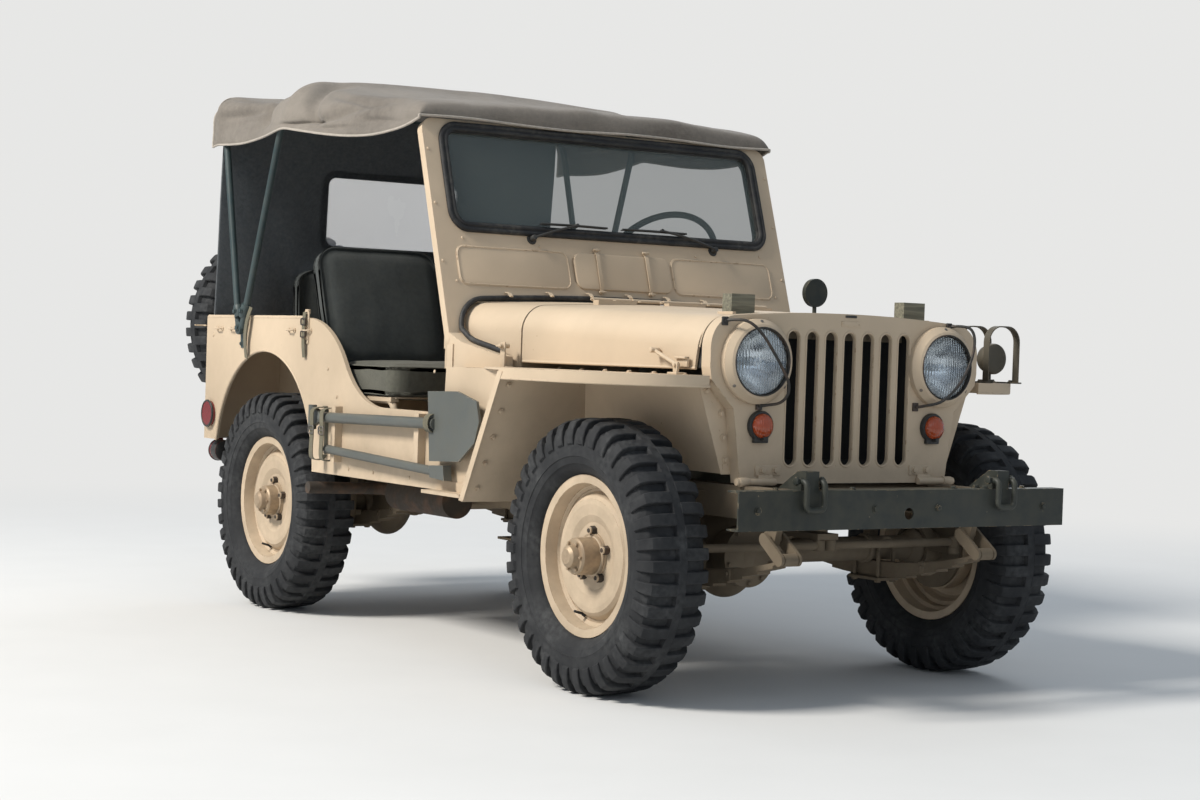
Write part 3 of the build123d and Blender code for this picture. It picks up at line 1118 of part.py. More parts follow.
def seat_frame(x):
    """Tube legs, pan and backrest tubes of a bucket seat."""
    half = SEAT_WIDTH / 2 - 20
    front = SEAT_FRONT_Y + 22
    rear = SEAT_REAR_Y - 12
    under = SEAT_TOP_Z - 90 - RUNNING
    floor = FLOOR_Z + FLOOR_THICK
    frame = block((x - half, x + half), (front - 10, rear + 10), (under - 6, under))
    for side in (-1, 1):
        legs = pipe(((x + side * half, front, floor), (x + side * half, front, under - 13),
                     (x + side * half, rear, under - 13), (x + side * half, rear, floor)), 12, 40)
        frame += legs
        frame += block((x + side * half - 14, x + side * half + 14), (front, rear), (under - 16, under - 2))
        tube_x = x + side * BACKREST_TUBE_X
        start, end = backrest_tube(tube_x, under - 5)
        frame += block((tube_x - 14, tube_x + 14), (rear, start[1] + 4), (under - 6, under))
        frame += rod(start, end, BACKREST_TUBE)
    return frame


def rear_seat():
    """Rear bench cushion and backrest between the wheelhouses."""
    half = WHEELHOUSE_IN_X - 12
    rear = TUB_REAR_Y - SHEET - 60
    cushion = block((-half, half), (rear - 380, rear - 40), (820, 890))
    back = side_plate(polygon((rear - 68, 890 + RUNNING), (rear - 8, 890 + RUNNING), (rear + 10, 1205),
                              (rear - 40, 1205)), -half, half)
    return cushion, back


def rear_seat_frame():
    """Tube legs and pan of the rear bench."""
    half = WHEELHOUSE_IN_X - 40
    rear = TUB_REAR_Y - SHEET - 60
    floor = REAR_FLOOR_Z + FLOOR_THICK
    frame = block((-half, half), (rear - 370, rear - 50), (812, 820 - RUNNING))
    for x in (-half + 12, half - 12):
        frame += pipe(((x, rear - 350, floor), (x, rear - 350, 802), (x, rear - 70, 802),
                       (x, rear - 70, floor)), 12, 40)
        frame += block((x - 10, x + 10), (rear - 350, rear - 70), (796, 813))
    return frame


def spare():
    """Spare wheel and tyre on the rear panel, with their carrier."""
    centre = TUB_REAR_Y + SPARE_GAP + TYRE_WIDTH / 2
    turn = Rot(0, 0, 90)
    lip = RIM_LIP_HALF
    rim = [(-lip, RIM_LIP_RADIUS), (-lip + 9, RIM_LIP_RADIUS), (-lip + 10, RIM_SEAT_RADIUS),
           (-22, RIM_WELL_RADIUS),
           (22, RIM_WELL_RADIUS), (lip - 10, RIM_SEAT_RADIUS), (lip - 9, RIM_LIP_RADIUS), (lip,
                                                            RIM_LIP_RADIUS),
           (lip - 2, RIM_SEAT_RADIUS - 6), (18, RIM_WELL_RADIUS - 6), (-18, RIM_WELL_RADIUS - 6),
           (-lip + 2, RIM_SEAT_RADIUS - 6)]
    place = Pos(SPARE_X, centre, SPARE_Z) * turn
    rim_part = place * (lathe_x(rim, 1, 0, 0) + lathe_x(DISC, 1, 0, 0))
    tyre_part = place * tyre(1, 0, centre=0, z=0)
    plate = centre + 24 - RUNNING
    carrier = rod((SPARE_X, TUB_REAR_Y - 1, SPARE_Z), (SPARE_X, plate, SPARE_Z), 40)
    carrier += rod((SPARE_X, plate - 6, SPARE_Z), (SPARE_X, plate, SPARE_Z), 84)
    carrier += block((SPARE_X - 150, SPARE_X + 150), (TUB_REAR_Y - 1, TUB_REAR_Y + 8),
                     (SPARE_Z - 150, TUB_TOP_Z - 6))
    return rim_part, tyre_part, carrier


def lamps_and_reflectors():
    """Tail lamps under the rear corners and reflectors on the sides."""
    lamps = []
    reflectors = []
    for side in (-1, 1):
        y = TUB_REAR_Y - 60
        lamp = rod((side * 668, y, 528), (side * 668, y + 60, 528), 38)
        lamp += block((side * 668 - 14, side * 668 + 14), (y + 48, y + 58), (550, TUB_LOW_REAR_Z - RUNNING))
        lamps.append(lamp)
        centre_y = TUB_REAR_Y - 50
        reflectors.append(rod((side * (TUB_HALF + RUNNING), centre_y, 664),
                              (side * (TUB_HALF + 14), centre_y, 664), 46))
    return lamps, reflectors


def guard_lamp():
    """Driving lamp on the left wing, under its hoop guard."""
    x = 620
    y = GRILLE_FACE_Y + 100
    z = WING_TOP_Z + RUNNING
    lamp = rod((x, y, z), (x, y, z + 45), 20) + rod((x, y - 38, z + 72), (x, y + 30, z + 72), 46)
    guard = None
    for shift in (-58, 62):
        hoop = pipe(((x - 62, y + shift, z), (x - 62, y + shift, z + 170), (x + 62, y + shift, z + 170),
                     (x + 62, y + shift, z)), 7, 50)
        guard = hoop if guard is None else guard + hoop
    for side in (-1, 1):
        guard += block((x + side * 62 - 10, x + side * 62 + 10), (y - 66, y + 70), (z, z + 5))
    return lamp, guard


def mirror_arm():
    """Round mirror on its arm, on the left."""
    y = SCREEN_BASE_Y - 52
    head = rod((738, y - 8, 1160), (738, y + 10, 1160), 48)
    arm = pipe(((SCREEN_HALF + 8, y, 915), (738, y, 985), (738, y + 1, 1125)), 7, 30)
    foot = block((SCREEN_HALF + RUNNING, SCREEN_HALF + 10), (y - 12, y + 12), (892, 932))
    return head + arm + foot


def shovel():
    """Shovel on the right side, blade forwards."""
    blade = side_plate(polygon((SEAM_Y + 226, 801), (SEAM_Y + 206, 592), (SEAM_Y + 31, 600),
                               (SEAM_Y - 58, 660),
                               (SEAM_Y - 82, 722), (SEAM_Y - 64, 780), (SEAM_Y + 51,
                                                            806)), TOOL_X - 4, TOOL_X + 4)
    shaft = rod(*SHOVEL_SHAFT, SHAFT_RADIUS)
    grip = rod((TOOL_X, SEAM_Y + 1010, 730), (TOOL_X, SEAM_Y + 1010, 650), 14)
    fork = side_plate(polygon((SEAM_Y + 930, 702), (SEAM_Y + 930, 682), (SEAM_Y + 1010, 656),
                              (SEAM_Y + 1018, 656),
                              (SEAM_Y + 1018, 728), (SEAM_Y + 1010, 728)), TOOL_X - 9, TOOL_X + 9)
    return blade + shaft + grip + fork


def axe():
    """Felling axe on the right side, head forwards."""
    head = side_plate(polygon((SEAM_Y + 95, 540), (SEAM_Y + 182, 545), (SEAM_Y + 192, 580),
                              (SEAM_Y + 104, 585)),
                      TOOL_X - 14, TOOL_X + 14)
    return head + rod(*AXE_HANDLE, HANDLE_RADIUS)


def tool_brackets():
    """Cradles that hold the shovel and the axe off the body side."""
    cradles = None
    for y in (SEAM_Y + 310, SEAM_Y + 870):
        cradle = block((TOOL_X + 6, -TUB_HALF + 1), (y - 14, y + 14), (550, 730))
        cradle -= rod(*SHOVEL_SHAFT, SHAFT_RADIUS + RUNNING)
        cradle -= rod(*AXE_HANDLE, HANDLE_RADIUS + RUNNING)
        cradles = cradle if cradles is None else cradles + cradle
    return cradles


def side_steps():
    """Sheet steps under both door openings."""
    steps = []
    for side in (-1, 1):
        span = (SEAM_Y - 12, SEAM_Y + 215)
        step = block((TUB_HALF - 1, WING_HALF), span, (SILL_Z - 8, SILL_Z + 2))
        step += block((TUB_HALF - 1, TUB_HALF + 5), span, (SILL_Z - 8, SILL_Z + 30))
        steps.append(on_side(step, side))
    return steps


def springs_and_links():
    """All four leaf packs with the shackle links and pins that hang them."""
    shapes = []
    for axle_y, towards in ((FRONT_AXLE_Y, -1), (REAR_AXLE_Y, 1)):
        for shape in (springs(axle_y), *spring_links(axle_y, towards)):
            shapes += [shape, mirrored(shape)]
    return shapes


def tub_sides():
    """Both body sides with their steps, and the tool cradles on the right one."""
    right, left = side_steps()
    return tub_side(-1) + right + tool_brackets(), tub_side(1) + left


save("chassis_frame", chassis_frame())
save("front_bumper", front_bumper(), *tow_shackles())
save("leaf_springs", *springs_and_links())
save("front_axle", axle(FRONT_AXLE_Y, 1, True))
save("rear_axle", axle(REAR_AXLE_Y, -1, False))
save("bell_crank", bell_crank())
save("tie_rods", *tie_rods())
save("drag_link", drag_link())
save("pitman_arm", pitman_arm())
save("steering_column", steering_column())
save("steering_wheel", steering_wheel())
for place, side in SIDES:
    save("knuckle_" + place, knuckle(side))
    save("wheel_front_" + place, wheel(side, FRONT_AXLE_Y, FRONT_HUB_REACH))
    save("wheel_rear_" + place, wheel(side, REAR_AXLE_Y, REAR_HUB_REACH))
    save("tyre_front_" + place, tyre(side, FRONT_AXLE_Y))
    save("tyre_rear_" + place, tyre(side, REAR_AXLE_Y))
save("tub_sides", *tub_sides())
save("tub_floor", tub_floor())
spare_rim, spare_tyre, carrier = spare()
save("rear_panel", rear_panel() + carrier)
save("spare_wheel", spare_rim)
save("spare_tyre", spare_tyre)
save("cowl", cowl())
save("front_wings", wing(-1), wing(1))
save("grille_panel", grille_panel())
lamps, lenses = headlights()
save("headlights", *lamps)
save("headlight_lenses", *lenses)
save("turn_signals", *turn_signals())
save("radiator", radiator())
save("engine", engine_block())
save("gearbox", gearbox())
save("propeller_shafts", *propeller_shafts())
save("exhaust", exhaust())
save("shock_absorbers", *shock_absorbers())
save("bonnet", bonnet())
save("bonnet_blocks", *bonnet_blocks())
save("windscreen_frame", windscreen_frame())
seal, pane = windscreen_glass()
save("windscreen_seal", seal)
save("windscreen_glass", pane)
save("wipers", *wipers())
save("canvas_roof", canvas_roof())
save("canopy_bows", *bows())
curtain, window = rear_curtain()
save("rear_curtain", curtain)
save("rear_window", window)
save("front_seats", *seat(DRIVER_X), *seat(PASSENGER_X))
save("rear_seat", *rear_seat())
save("seat_frames", seat_frame(DRIVER_X), seat_frame(PASSENGER_X), rear_seat_frame())
tail_lamps, reflectors = lamps_and_reflectors()
save("tail_lamps", *tail_lamps, *reflectors)
save("guard_lamp", *guard_lamp())
save("mirror", mirror_arm())
save("hand_tools", shovel(), axe())
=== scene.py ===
import math

import bmesh
import bpy
from mathutils import Matrix, Vector, noise


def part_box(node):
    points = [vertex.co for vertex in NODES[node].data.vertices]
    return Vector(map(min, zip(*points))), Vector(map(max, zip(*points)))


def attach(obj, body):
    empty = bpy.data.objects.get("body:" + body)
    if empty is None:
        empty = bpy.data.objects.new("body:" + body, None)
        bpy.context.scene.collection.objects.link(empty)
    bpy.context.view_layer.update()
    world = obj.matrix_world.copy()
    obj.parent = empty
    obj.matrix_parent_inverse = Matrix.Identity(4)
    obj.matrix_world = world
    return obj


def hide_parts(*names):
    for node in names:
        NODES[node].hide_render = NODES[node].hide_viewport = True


bl_info = {
    "name": "Army 4x4 Car",
    "version": (1, 0, 0),
    "blender": (4, 5, 0),
    "location": "View3D > Sidebar > Army Car",
    "description": "Builds the looks of a light military 4x4 car around its CAD frame",
    "category": "Object",
}

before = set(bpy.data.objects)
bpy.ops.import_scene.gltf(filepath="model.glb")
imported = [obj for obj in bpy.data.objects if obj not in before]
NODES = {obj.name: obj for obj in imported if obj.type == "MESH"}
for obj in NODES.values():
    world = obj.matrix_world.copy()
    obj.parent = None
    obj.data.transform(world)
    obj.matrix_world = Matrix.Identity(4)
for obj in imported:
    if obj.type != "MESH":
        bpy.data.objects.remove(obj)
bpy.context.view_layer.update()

# Places that the frame shares with this file, in metres
AXLE_Y = {"front": -1.097, "rear": 0.935}
HUB_Z = 0.378
HALF_TRACK = 0.6255
SCREEN_Y = -0.246
SCREEN_Z = 1.1
RAKE = math.radians(18.4)
TUB_REAR_Y = 1.42
TUB_HALF = 0.725
BUMPER_Y = -1.637
GRILLE_Y = -1.366
BODY = "car_body"
SIDES = ((1, "left"), (-1, "right"))

# Directions
ACROSS = (1, 0, 0)
ALONG = (0, 1, 0)
FORWARD = (0, -1, 0)
ABOVE = (0, 0, 1)


def colour_value(name, description, default):
    """A colour on the panel."""
    return bpy.props.FloatVectorProperty(
        name=name, description=description, subtype="COLOR", size=3, default=default)


def length_value(name, description, default):
    """A length on the panel, in metres."""
    return bpy.props.FloatProperty(name=name, description=description, default=default, unit="LENGTH")


class ArmyCarColours(bpy.types.PropertyGroup):
    """Colours of the paint, cloth and rubber."""

    body: colour_value("Sand paint", "Body, wheels and grille", (0.54, 0.425, 0.3))
    green: colour_value("Green paint", "Bumper, shovel and straps", (0.013, 0.018, 0.015))
    bow: colour_value("Bow paint", "Tubes of the soft top", (0.024, 0.046, 0.05))
    # The rear curtain does not take this colour: its cloth is a bluer grey copy of the canvas, whose tone is
    # painted shade.
    canvas: colour_value("Canvas", "Soft top and rear curtain", (0.148, 0.13, 0.11))
    seat: colour_value("Seat cloth", "Cushions and backrests", (0.042, 0.05, 0.052))
    rubber: colour_value("Rubber", "Tyres and seals", (0.013, 0.014, 0.016))
    amber: colour_value("Amber", "Lenses of the front signals", (0.36, 0.048, 0.006))


class ArmyCarSizes(bpy.types.PropertyGroup):
    """Sizes of the pieces that the CAD leaves out."""

    lugs: bpy.props.IntProperty(
        name="Lugs", description="Tread lugs on each side of a tyre", default=38, min=12, max=60)
    seam_puff: length_value("Seat swell", "How far a seat's cover may swell", 0.014)
    sag: length_value("Roof sag", "Sag of the canvas between its bows", 0.05)
    cloth_thick: length_value("Canvas thickness", "Thickness of the canvas", 0.003)


# Shader helpers


def feed(tree, node, values):
    """Set a node's inputs to values, or link them where a socket is given."""
    for key, value in values.items():
        if isinstance(value, bpy.types.NodeSocket):
            tree.links.new(value, node.inputs[key])
        else:
            node.inputs[key].default_value = value


def put(tree, kind, inputs=None, **settings):
    """Add a shader node with its settings and inputs."""
    made = tree.nodes.new("ShaderNode" + kind)
    for key, value in settings.items():
        setattr(made, key, value)
    feed(tree, made, inputs or {})
    return made


def new_group(name, inputs, outputs):
    """Start a shader node group with named float sockets."""
    tree = bpy.data.node_groups.new(name, "ShaderNodeTree")
    for label, default in inputs:
        socket = tree.interface.new_socket(label, in_out="INPUT", socket_type="NodeSocketFloat")
        socket.default_value = default
    for label in outputs:
        tree.interface.new_socket(label, in_out="OUTPUT", socket_type="NodeSocketFloat")
    return tree, tree.nodes.new("NodeGroupInput").outputs, tree.nodes.new("NodeGroupOutput").inputs


def use_group(tree, name, **values):
    """Place a shader node group in a material with its own values."""
    made = tree.nodes.new("ShaderNodeGroup")
    made.node_tree = bpy.data.node_groups[name]
    feed(tree, made, values)
    return made.outputs


def blend(tree, share, low, high):
    """Mix two colours by a share."""
    made = tree.nodes.new("ShaderNodeMix")
    made.data_type = "RGBA"
    low, high = (tone if isinstance(tone, bpy.types.NodeSocket) else (*tone, 1.0) for tone in (low, high))
    feed(tree, made, {0: share, 6: low, 7: high})
    return made.outputs[2]


def maths(tree, operation, first, second, clamp=False):
    """One step of arithmetic on values."""
    return put(tree, "Math", {0: first, 1: second}, operation=operation, use_clamp=clamp).outputs[0]


def spread(tree, value, low, high, to_low=0.0, to_high=1.0):
    """Stretch a range of values to another, clamped."""
    return put(tree, "MapRange", {"Value": value, "From Min": low, "From Max": high, "To Min": to_low,
                                  "To Max": to_high}).outputs[0]


def object_place(tree):
    """The Object coordinates of a surface."""
    return put(tree, "TexCoord").outputs["Object"]


def noise_value(tree, scale, detail, place=None, **more):
    """Noise from 0 to 1 on the Object coordinates, or on a place made from them."""
    place = object_place(tree) if place is None else place
    return put(tree, "TexNoise", {"Vector": place, "Scale": scale, "Detail": detail, **more}).outputs["Fac"]


def mottle(tree, scale, detail):
    """The shared mottle at a scale."""
    return use_group(tree, "Mottle", Scale=scale, Detail=detail)["Tone"]


def build_groups():
    """Build each shared effect once: mottle, edge wear, ground dirt, dust on top, fine bump and weave."""
    tree, given, out = new_group("Mottle", (("Scale", 3.0), ("Detail", 4.0)), ("Tone",))
    wide = noise_value(tree, given["Scale"], given["Detail"])
    tree.links.new(spread(tree, wide, 0.3, 0.7), out["Tone"])

    tree, given, out = new_group("Edge Wear", (("Radius", 0.004), ("Scale", 40.0), ("Amount", 0.5)),
                                 ("Wear",))
    round_normal = put(tree, "Bevel", {"Radius": given["Radius"]}, samples=4).outputs["Normal"]
    plain = put(tree, "NewGeometry").outputs["Normal"]
    dot = put(tree, "VectorMath", {0: round_normal, 1: plain}, operation="DOT_PRODUCT").outputs["Value"]
    edge = spread(tree, dot, 0.995, 0.9)
    rough = noise_value(tree, given["Scale"], 5.0)
    broken = maths(tree, "SUBTRACT", maths(tree, "ADD", rough, given["Amount"]), 0.95)
    tree.links.new(maths(tree, "MULTIPLY", edge, spread(tree, broken, 0.0, 0.08), clamp=True), out["Wear"])

    tree, given, out = new_group("Ground Dirt", (("Low", 0.15), ("High", 0.75), ("Scale", 9.0)), ("Dirt",))
    height = put(tree, "SeparateXYZ", {0: object_place(tree)}).outputs["Z"]
    near = spread(tree, height, given["Low"], given["High"], 1.0, 0.0)
    patch = noise_value(tree, given["Scale"], 6.0, Roughness=0.65)
    tree.links.new(maths(tree, "MULTIPLY", near, spread(tree, patch, 0.32, 0.68), clamp=True), out["Dirt"])

    tree, given, out = new_group("Settled Dust", (("Scale", 12.0), ("Amount", 0.5)), ("Dust",))
    up = put(tree, "SeparateXYZ", {0: put(tree, "NewGeometry").outputs["Normal"]}).outputs["Z"]
    patch = noise_value(tree, given["Scale"], 6.0)
    lying = maths(tree, "MULTIPLY", spread(tree, up, 0.25, 0.95), spread(tree, patch, 0.35, 0.7))
    tree.links.new(maths(tree, "MULTIPLY", lying, given["Amount"], clamp=True), out["Dust"])

    tree, given, out = new_group("Sheet Metal", (("Dents", 1.0), ("Grain", 1.0)), ("Height",))
    grain = noise_value(tree, 260.0, 2.0)
    big = maths(tree, "MULTIPLY", noise_value(tree, 5.0, 1.0), given["Dents"])
    small = maths(tree, "MULTIPLY", maths(tree, "MULTIPLY", grain, 0.045), given["Grain"])
    tree.links.new(maths(tree, "ADD", big, small), out["Height"])

    tree, given, out = new_group("Weave", (("Threads", 260.0), ("Slub", 1.0)), ("Height", "Shade"))
    place = object_place(tree)
    waves = []
    for axis in "XYZ":
        bands = put(tree, "TexWave", {"Vector": place, "Scale": given["Threads"], "Distortion": 0.6,
                                      "Detail": 1.0,
                                      "Detail Scale": 0.4}, wave_type="BANDS", bands_direction=axis)
        waves.append(bands.outputs["Fac"])
    cross = maths(tree, "MAXIMUM", maths(tree, "MAXIMUM", waves[0], waves[1]), waves[2])
    slub = noise_value(tree, 90.0, 3.0)
    thread, lump = maths(tree, "MULTIPLY", cross, 0.6), maths(tree, "MULTIPLY", slub, given["Slub"])
    tree.links.new(maths(tree, "ADD", thread, lump), out["Height"])
    tree.links.new(spread(tree, slub, 0.35, 0.65), out["Shade"])


def new_material(name):
    """Start a material with a Principled shader."""
    material = bpy.data.materials.new("Army " + name)
    material.use_nodes = True
    tree = material.node_tree
    return material, tree, tree.nodes["Principled BSDF"]


def add_bump(tree, shader, height, strength, distance):
    """Feed a height to the shader's normal."""
    bump = put(tree, "Bump", {"Strength": strength, "Distance": distance, "Height": height})
    feed(tree, shader, {"Normal": bump.outputs["Normal"]})


def painted(name, colour, under, dust, roughness, wear, dirt, dents=1.0, low=0.2, high=0.9, specular=0.4):
    """Matt military paint: sun-bleached tone, worn edges, chips, dust on top and dirt near the ground."""
    tree, shader = new_material(name)[1:]
    tone = mottle(tree, 2.2, 3.0)
    fine = mottle(tree, 26.0, 6.0)
    darker = [part * 0.86 for part in colour]
    paler = [min(1.0, part * 1.08 + 0.012) for part in colour]
    coat = blend(tree, tone, darker, paler)
    coat = blend(tree, maths(tree, "MULTIPLY", fine, 0.16), coat, dust)
    lying = use_group(tree, "Settled Dust", Scale=7.0, Amount=0.35)["Dust"]
    coat = blend(tree, lying, coat, dust)
    grime = use_group(tree, "Ground Dirt", Low=low, High=high, Scale=11.0)["Dirt"]
    coat = blend(tree, maths(tree, "MULTIPLY", grime, dirt), coat, SOIL)
    worn = use_group(tree, "Edge Wear", Radius=0.0022, Scale=46.0, Amount=wear)["Wear"]
    chips = spread(tree, noise_value(tree, 75.0, 4.0, Roughness=0.6), 0.735, 0.755)
    coat = blend(tree, maths(tree, "MAXIMUM", worn, chips), coat, under)
    rough = maths(tree, "ADD", maths(tree, "MULTIPLY", fine, 0.16), roughness)
    feed(tree, shader, {"Base Color": coat, "Roughness": rough, "Specular IOR Level": specular})
    height = use_group(tree, "Sheet Metal", Dents=dents, Grain=1.0)["Height"]
    add_bump(tree, shader, height, 0.3, 0.012)


def rubbery(name, colour, dust, amount, roughness):
    """Black rubber with grey dust in patches."""
    tree, shader = new_material(name)[1:]
    fine = mottle(tree, 60.0, 4.0)
    film = maths(tree, "MULTIPLY", maths(tree, "MULTIPLY", mottle(tree, 9.0, 6.0), fine), amount)
    rough = spread(tree, fine, 0.0, 1.0, roughness - 0.08, roughness + 0.12)
    feed(tree, shader, {"Base Color": blend(tree, film, colour, dust), "Roughness": rough,
                        "Specular IOR Level": 0.35})
    add_bump(tree, shader, noise_value(tree, 420.0, 3.0), 0.25, 0.0012)


def woven(name, colour, dust, threads, bleach, sheen=0.15):
    """Cotton duck: thread weave, slubs, sun-bleached patches and dust."""
    tree, shader = new_material(name)[1:]
    cloth = use_group(tree, "Weave", Threads=threads, Slub=0.8)
    darker = [part * 0.78 for part in colour]
    paler = [part * 1.22 for part in colour]
    coat = blend(tree, maths(tree, "MULTIPLY", cloth["Shade"], 0.55), darker, paler)
    coat = blend(tree, maths(tree, "MULTIPLY", mottle(tree, 2.6, 5.0), bleach), coat, dust)
    coat = blend(tree, maths(tree, "MULTIPLY", mottle(tree, 34.0, 5.0), 0.15), coat, dust)
    rough = spread(tree, cloth["Shade"], 0.0, 1.0, 0.82, 0.95)
    feed(tree, shader, {"Base Color": coat, "Roughness": rough, "Specular IOR Level": 0.2,
                        "Sheen Weight": sheen})
    add_bump(tree, shader, cloth["Height"], 0.5, 0.0012)


def metal(name, colour, roughness, rust, metallic=0.9):
    """Bare or oily steel with rust in patches."""
    tree, shader = new_material(name)[1:]
    fine = mottle(tree, 80.0, 3.0)
    patch = maths(tree, "MULTIPLY", spread(tree, mottle(tree, 14.0, 6.0), 0.45, 0.95), rust, clamp=True)
    coat = blend(tree, patch, colour, (0.16, 0.075, 0.035))
    coat = blend(tree, maths(tree, "MULTIPLY", fine, 0.2), coat, (0.1, 0.085, 0.065))
    rough = spread(tree, fine, 0.0, 1.0, roughness - 0.08, roughness + 0.14)
    clean = maths(tree, "MULTIPLY", maths(tree, "SUBTRACT", 1.0, patch), metallic)
    feed(tree, shader, {"Base Color": coat, "Roughness": rough, "Metallic": clean})
    add_bump(tree, shader, fine, 0.12, 0.0015)


def lens(name, colour, roughness, alpha, dusty, flutes=None, transmission=0.0):
    """Moulded glass or plastic with flutes and a little dust."""
    tree, shader = new_material(name)[1:]
    fine = mottle(tree, 7.0, 4.0)
    feed(tree, shader, {
        "Base Color": blend(tree, maths(tree, "MULTIPLY", fine, dusty), colour, (0.55, 0.5, 0.42)),
        "Roughness": spread(tree, fine, 0.0, 1.0, roughness, roughness * 1.3),
        "Transmission Weight": transmission,
        "Alpha": alpha,
        "Coat Weight": 0.4,
    })
    if flutes:
        bands = put(tree, "TexWave", {"Vector": object_place(tree), "Scale": flutes, "Distortion": 0.0},
                    wave_type="BANDS", bands_direction="X").outputs["Fac"]
        add_bump(tree, shader, bands, 0.5, 0.0012)


def wooden(name):
    """Weathered timber with grain along X and old paint."""
    tree, shader = new_material(name)[1:]
    stretched = put(tree, "Mapping", {"Vector": object_place(tree),
                                      "Scale": (4.0, 60.0, 60.0)}).outputs["Vector"]
    grain = noise_value(tree, 2.0, 6.0, stretched, Distortion=0.6)
    coat = blend(tree, spread(tree, grain, 0.35, 0.65), (0.105, 0.102, 0.075), (0.215, 0.205, 0.15))
    feed(tree, shader, {"Base Color": coat, "Roughness": spread(tree, grain, 0.3, 0.7, 0.7, 0.92)})
    add_bump(tree, shader, grain, 0.5, 0.002)


# Mesh helpers

WASHER = 0.0018


def edges_of(verts):
    """The edges that meet a set of vertices."""
    return {edge for vert in verts for edge in vert.link_edges}


def only_verts(items):
    """The vertices among some new geometry."""
    return [item for item in items if isinstance(item, bmesh.types.BMVert)]


def bevel_edges(bm, edges, offset, segments=2):
    """Round off some edges."""
    bmesh.ops.bevel(bm, geom=list(edges), offset=offset, offset_type="OFFSET", segments=segments,
                    profile=0.5,
                    affect="EDGES", material=-1)


def add_box(bm, one, other, bevel, place=None):
    """A box between two opposite corners, with small bevels."""
    low, high = (Vector([pick(pair) for pair in zip(one, other)]) for pick in (min, max))
    matrix = (place or Matrix()) @ Matrix.Translation((low + high) / 2) @ Matrix.Diagonal((*(high - low), 1))
    verts = bmesh.ops.create_cube(bm, size=1.0, matrix=matrix)["verts"]
    if bevel:
        bevel_edges(bm, edges_of(verts), bevel)


def add_bar(bm, start, end, radius, radius_end=None, sides=20, bevel=0.0):
    """A round or many-sided bar between two points."""
    start, end = Vector(start), Vector(end)
    line = end - start
    place = Matrix.Translation((start + end) / 2) @ line.to_track_quat("Z", "Y").to_matrix().to_4x4()
    verts = bmesh.ops.create_cone(
        bm, cap_ends=True, cap_tris=False, segments=sides, radius1=radius,
        radius2=radius if radius_end is None else radius_end, depth=line.length, matrix=place)["verts"]
    if bevel:
        caps = {face for vert in verts for face in vert.link_faces if len(face.verts) > 4}
        bevel_edges(bm, {edge for face in caps for edge in face.edges}, bevel)


def add_bolt(bm, place, towards, radius, height, washer=True):
    """A hexagon bolt head, with its washer, that stands on a face."""
    place, towards = Vector(place), Vector(towards).normalized()
    foot = place - towards * 0.001
    if washer:
        add_bar(bm, foot, place + towards * WASHER, radius * 1.45, sides=18)
    add_bar(bm, foot, place + towards * (WASHER + height), radius, sides=6, bevel=radius * 0.12)


def add_plate(bm, outline, thick, place, bevel):
    """A flat plate from an outline in its own plane."""
    verts = [bm.verts.new(place @ Vector((x, y, 0))) for x, y in outline]
    moved = only_verts(bmesh.ops.extrude_face_region(bm, geom=[bm.faces.new(verts)])["geom"])
    bmesh.ops.translate(bm, verts=moved, vec=place.to_3x3() @ Vector((0, 0, thick)))
    bevel_edges(bm, edges_of(verts + moved), bevel)


def add_lathe(bm, outline, place=None, steps=48):
    """Turn an outline of (along, radius) about the X axis of a place."""
    before = set(bm.verts)
    verts = [bm.verts.new((along, 0.0, radius)) for along, radius in outline]
    edges = [bm.edges.new(pair) for pair in zip(verts, verts[1:])]
    bmesh.ops.spin(bm, geom=verts + edges, cent=(0, 0, 0), axis=ACROSS, angle=2 * math.pi, steps=steps,
                   use_merge=True, use_duplicate=False)
    bmesh.ops.remove_doubles(bm, verts=[vert for vert in bm.verts if vert not in before], dist=1e-6)
    if place:
        bmesh.ops.transform(bm, matrix=place, verts=[vert for vert in bm.verts if vert not in before])


def add_tube(bm, points, radius, cyclic=False, resolution=8, order=3):
    """A smooth round bar, wire or hose through a few points."""
    curve = bpy.data.curves.new("tube", "CURVE")
    curve.dimensions = "3D"
    curve.bevel_depth = radius
    curve.bevel_resolution = 3
    curve.resolution_u = resolution
    curve.use_fill_caps = True
    line = curve.splines.new("NURBS")
    line.points.add(len(points) - 1)
    for point, spot in zip(line.points, points):
        point.co = (*spot, 1.0)
    line.order_u = order
    line.use_endpoint_u = not cyclic
    line.use_cyclic_u = cyclic
    holder = bpy.data.objects.new("tube", curve)
    mesh = bpy.data.meshes.new_from_object(holder)
    bm.from_mesh(mesh)
    bpy.data.objects.remove(holder)
    bpy.data.curves.remove(curve)
    bpy.data.meshes.remove(mesh)


def add_ribbon(bm, points, width, thick, across=ALONG):
    """A flat strip along points, with its width in one direction."""
    points = [Vector(point) for point in points]
    half = Vector(across).normalized() * width / 2
    edge = bm.edges.new([bm.verts.new(points[0] - half), bm.verts.new(points[0] + half)])
    faces = []
    for before, after in zip(points, points[1:]):
        moved = only_verts(bmesh.ops.extrude_edge_only(bm, edges=[edge])["geom"])
        bmesh.ops.translate(bm, verts=moved, vec=after - before)
        faces.append(next(face for face in edge.link_faces if moved[0] in face.verts))
        edge = bm.edges.get(moved)
    bmesh.ops.solidify(bm, geom=faces, thickness=thick)


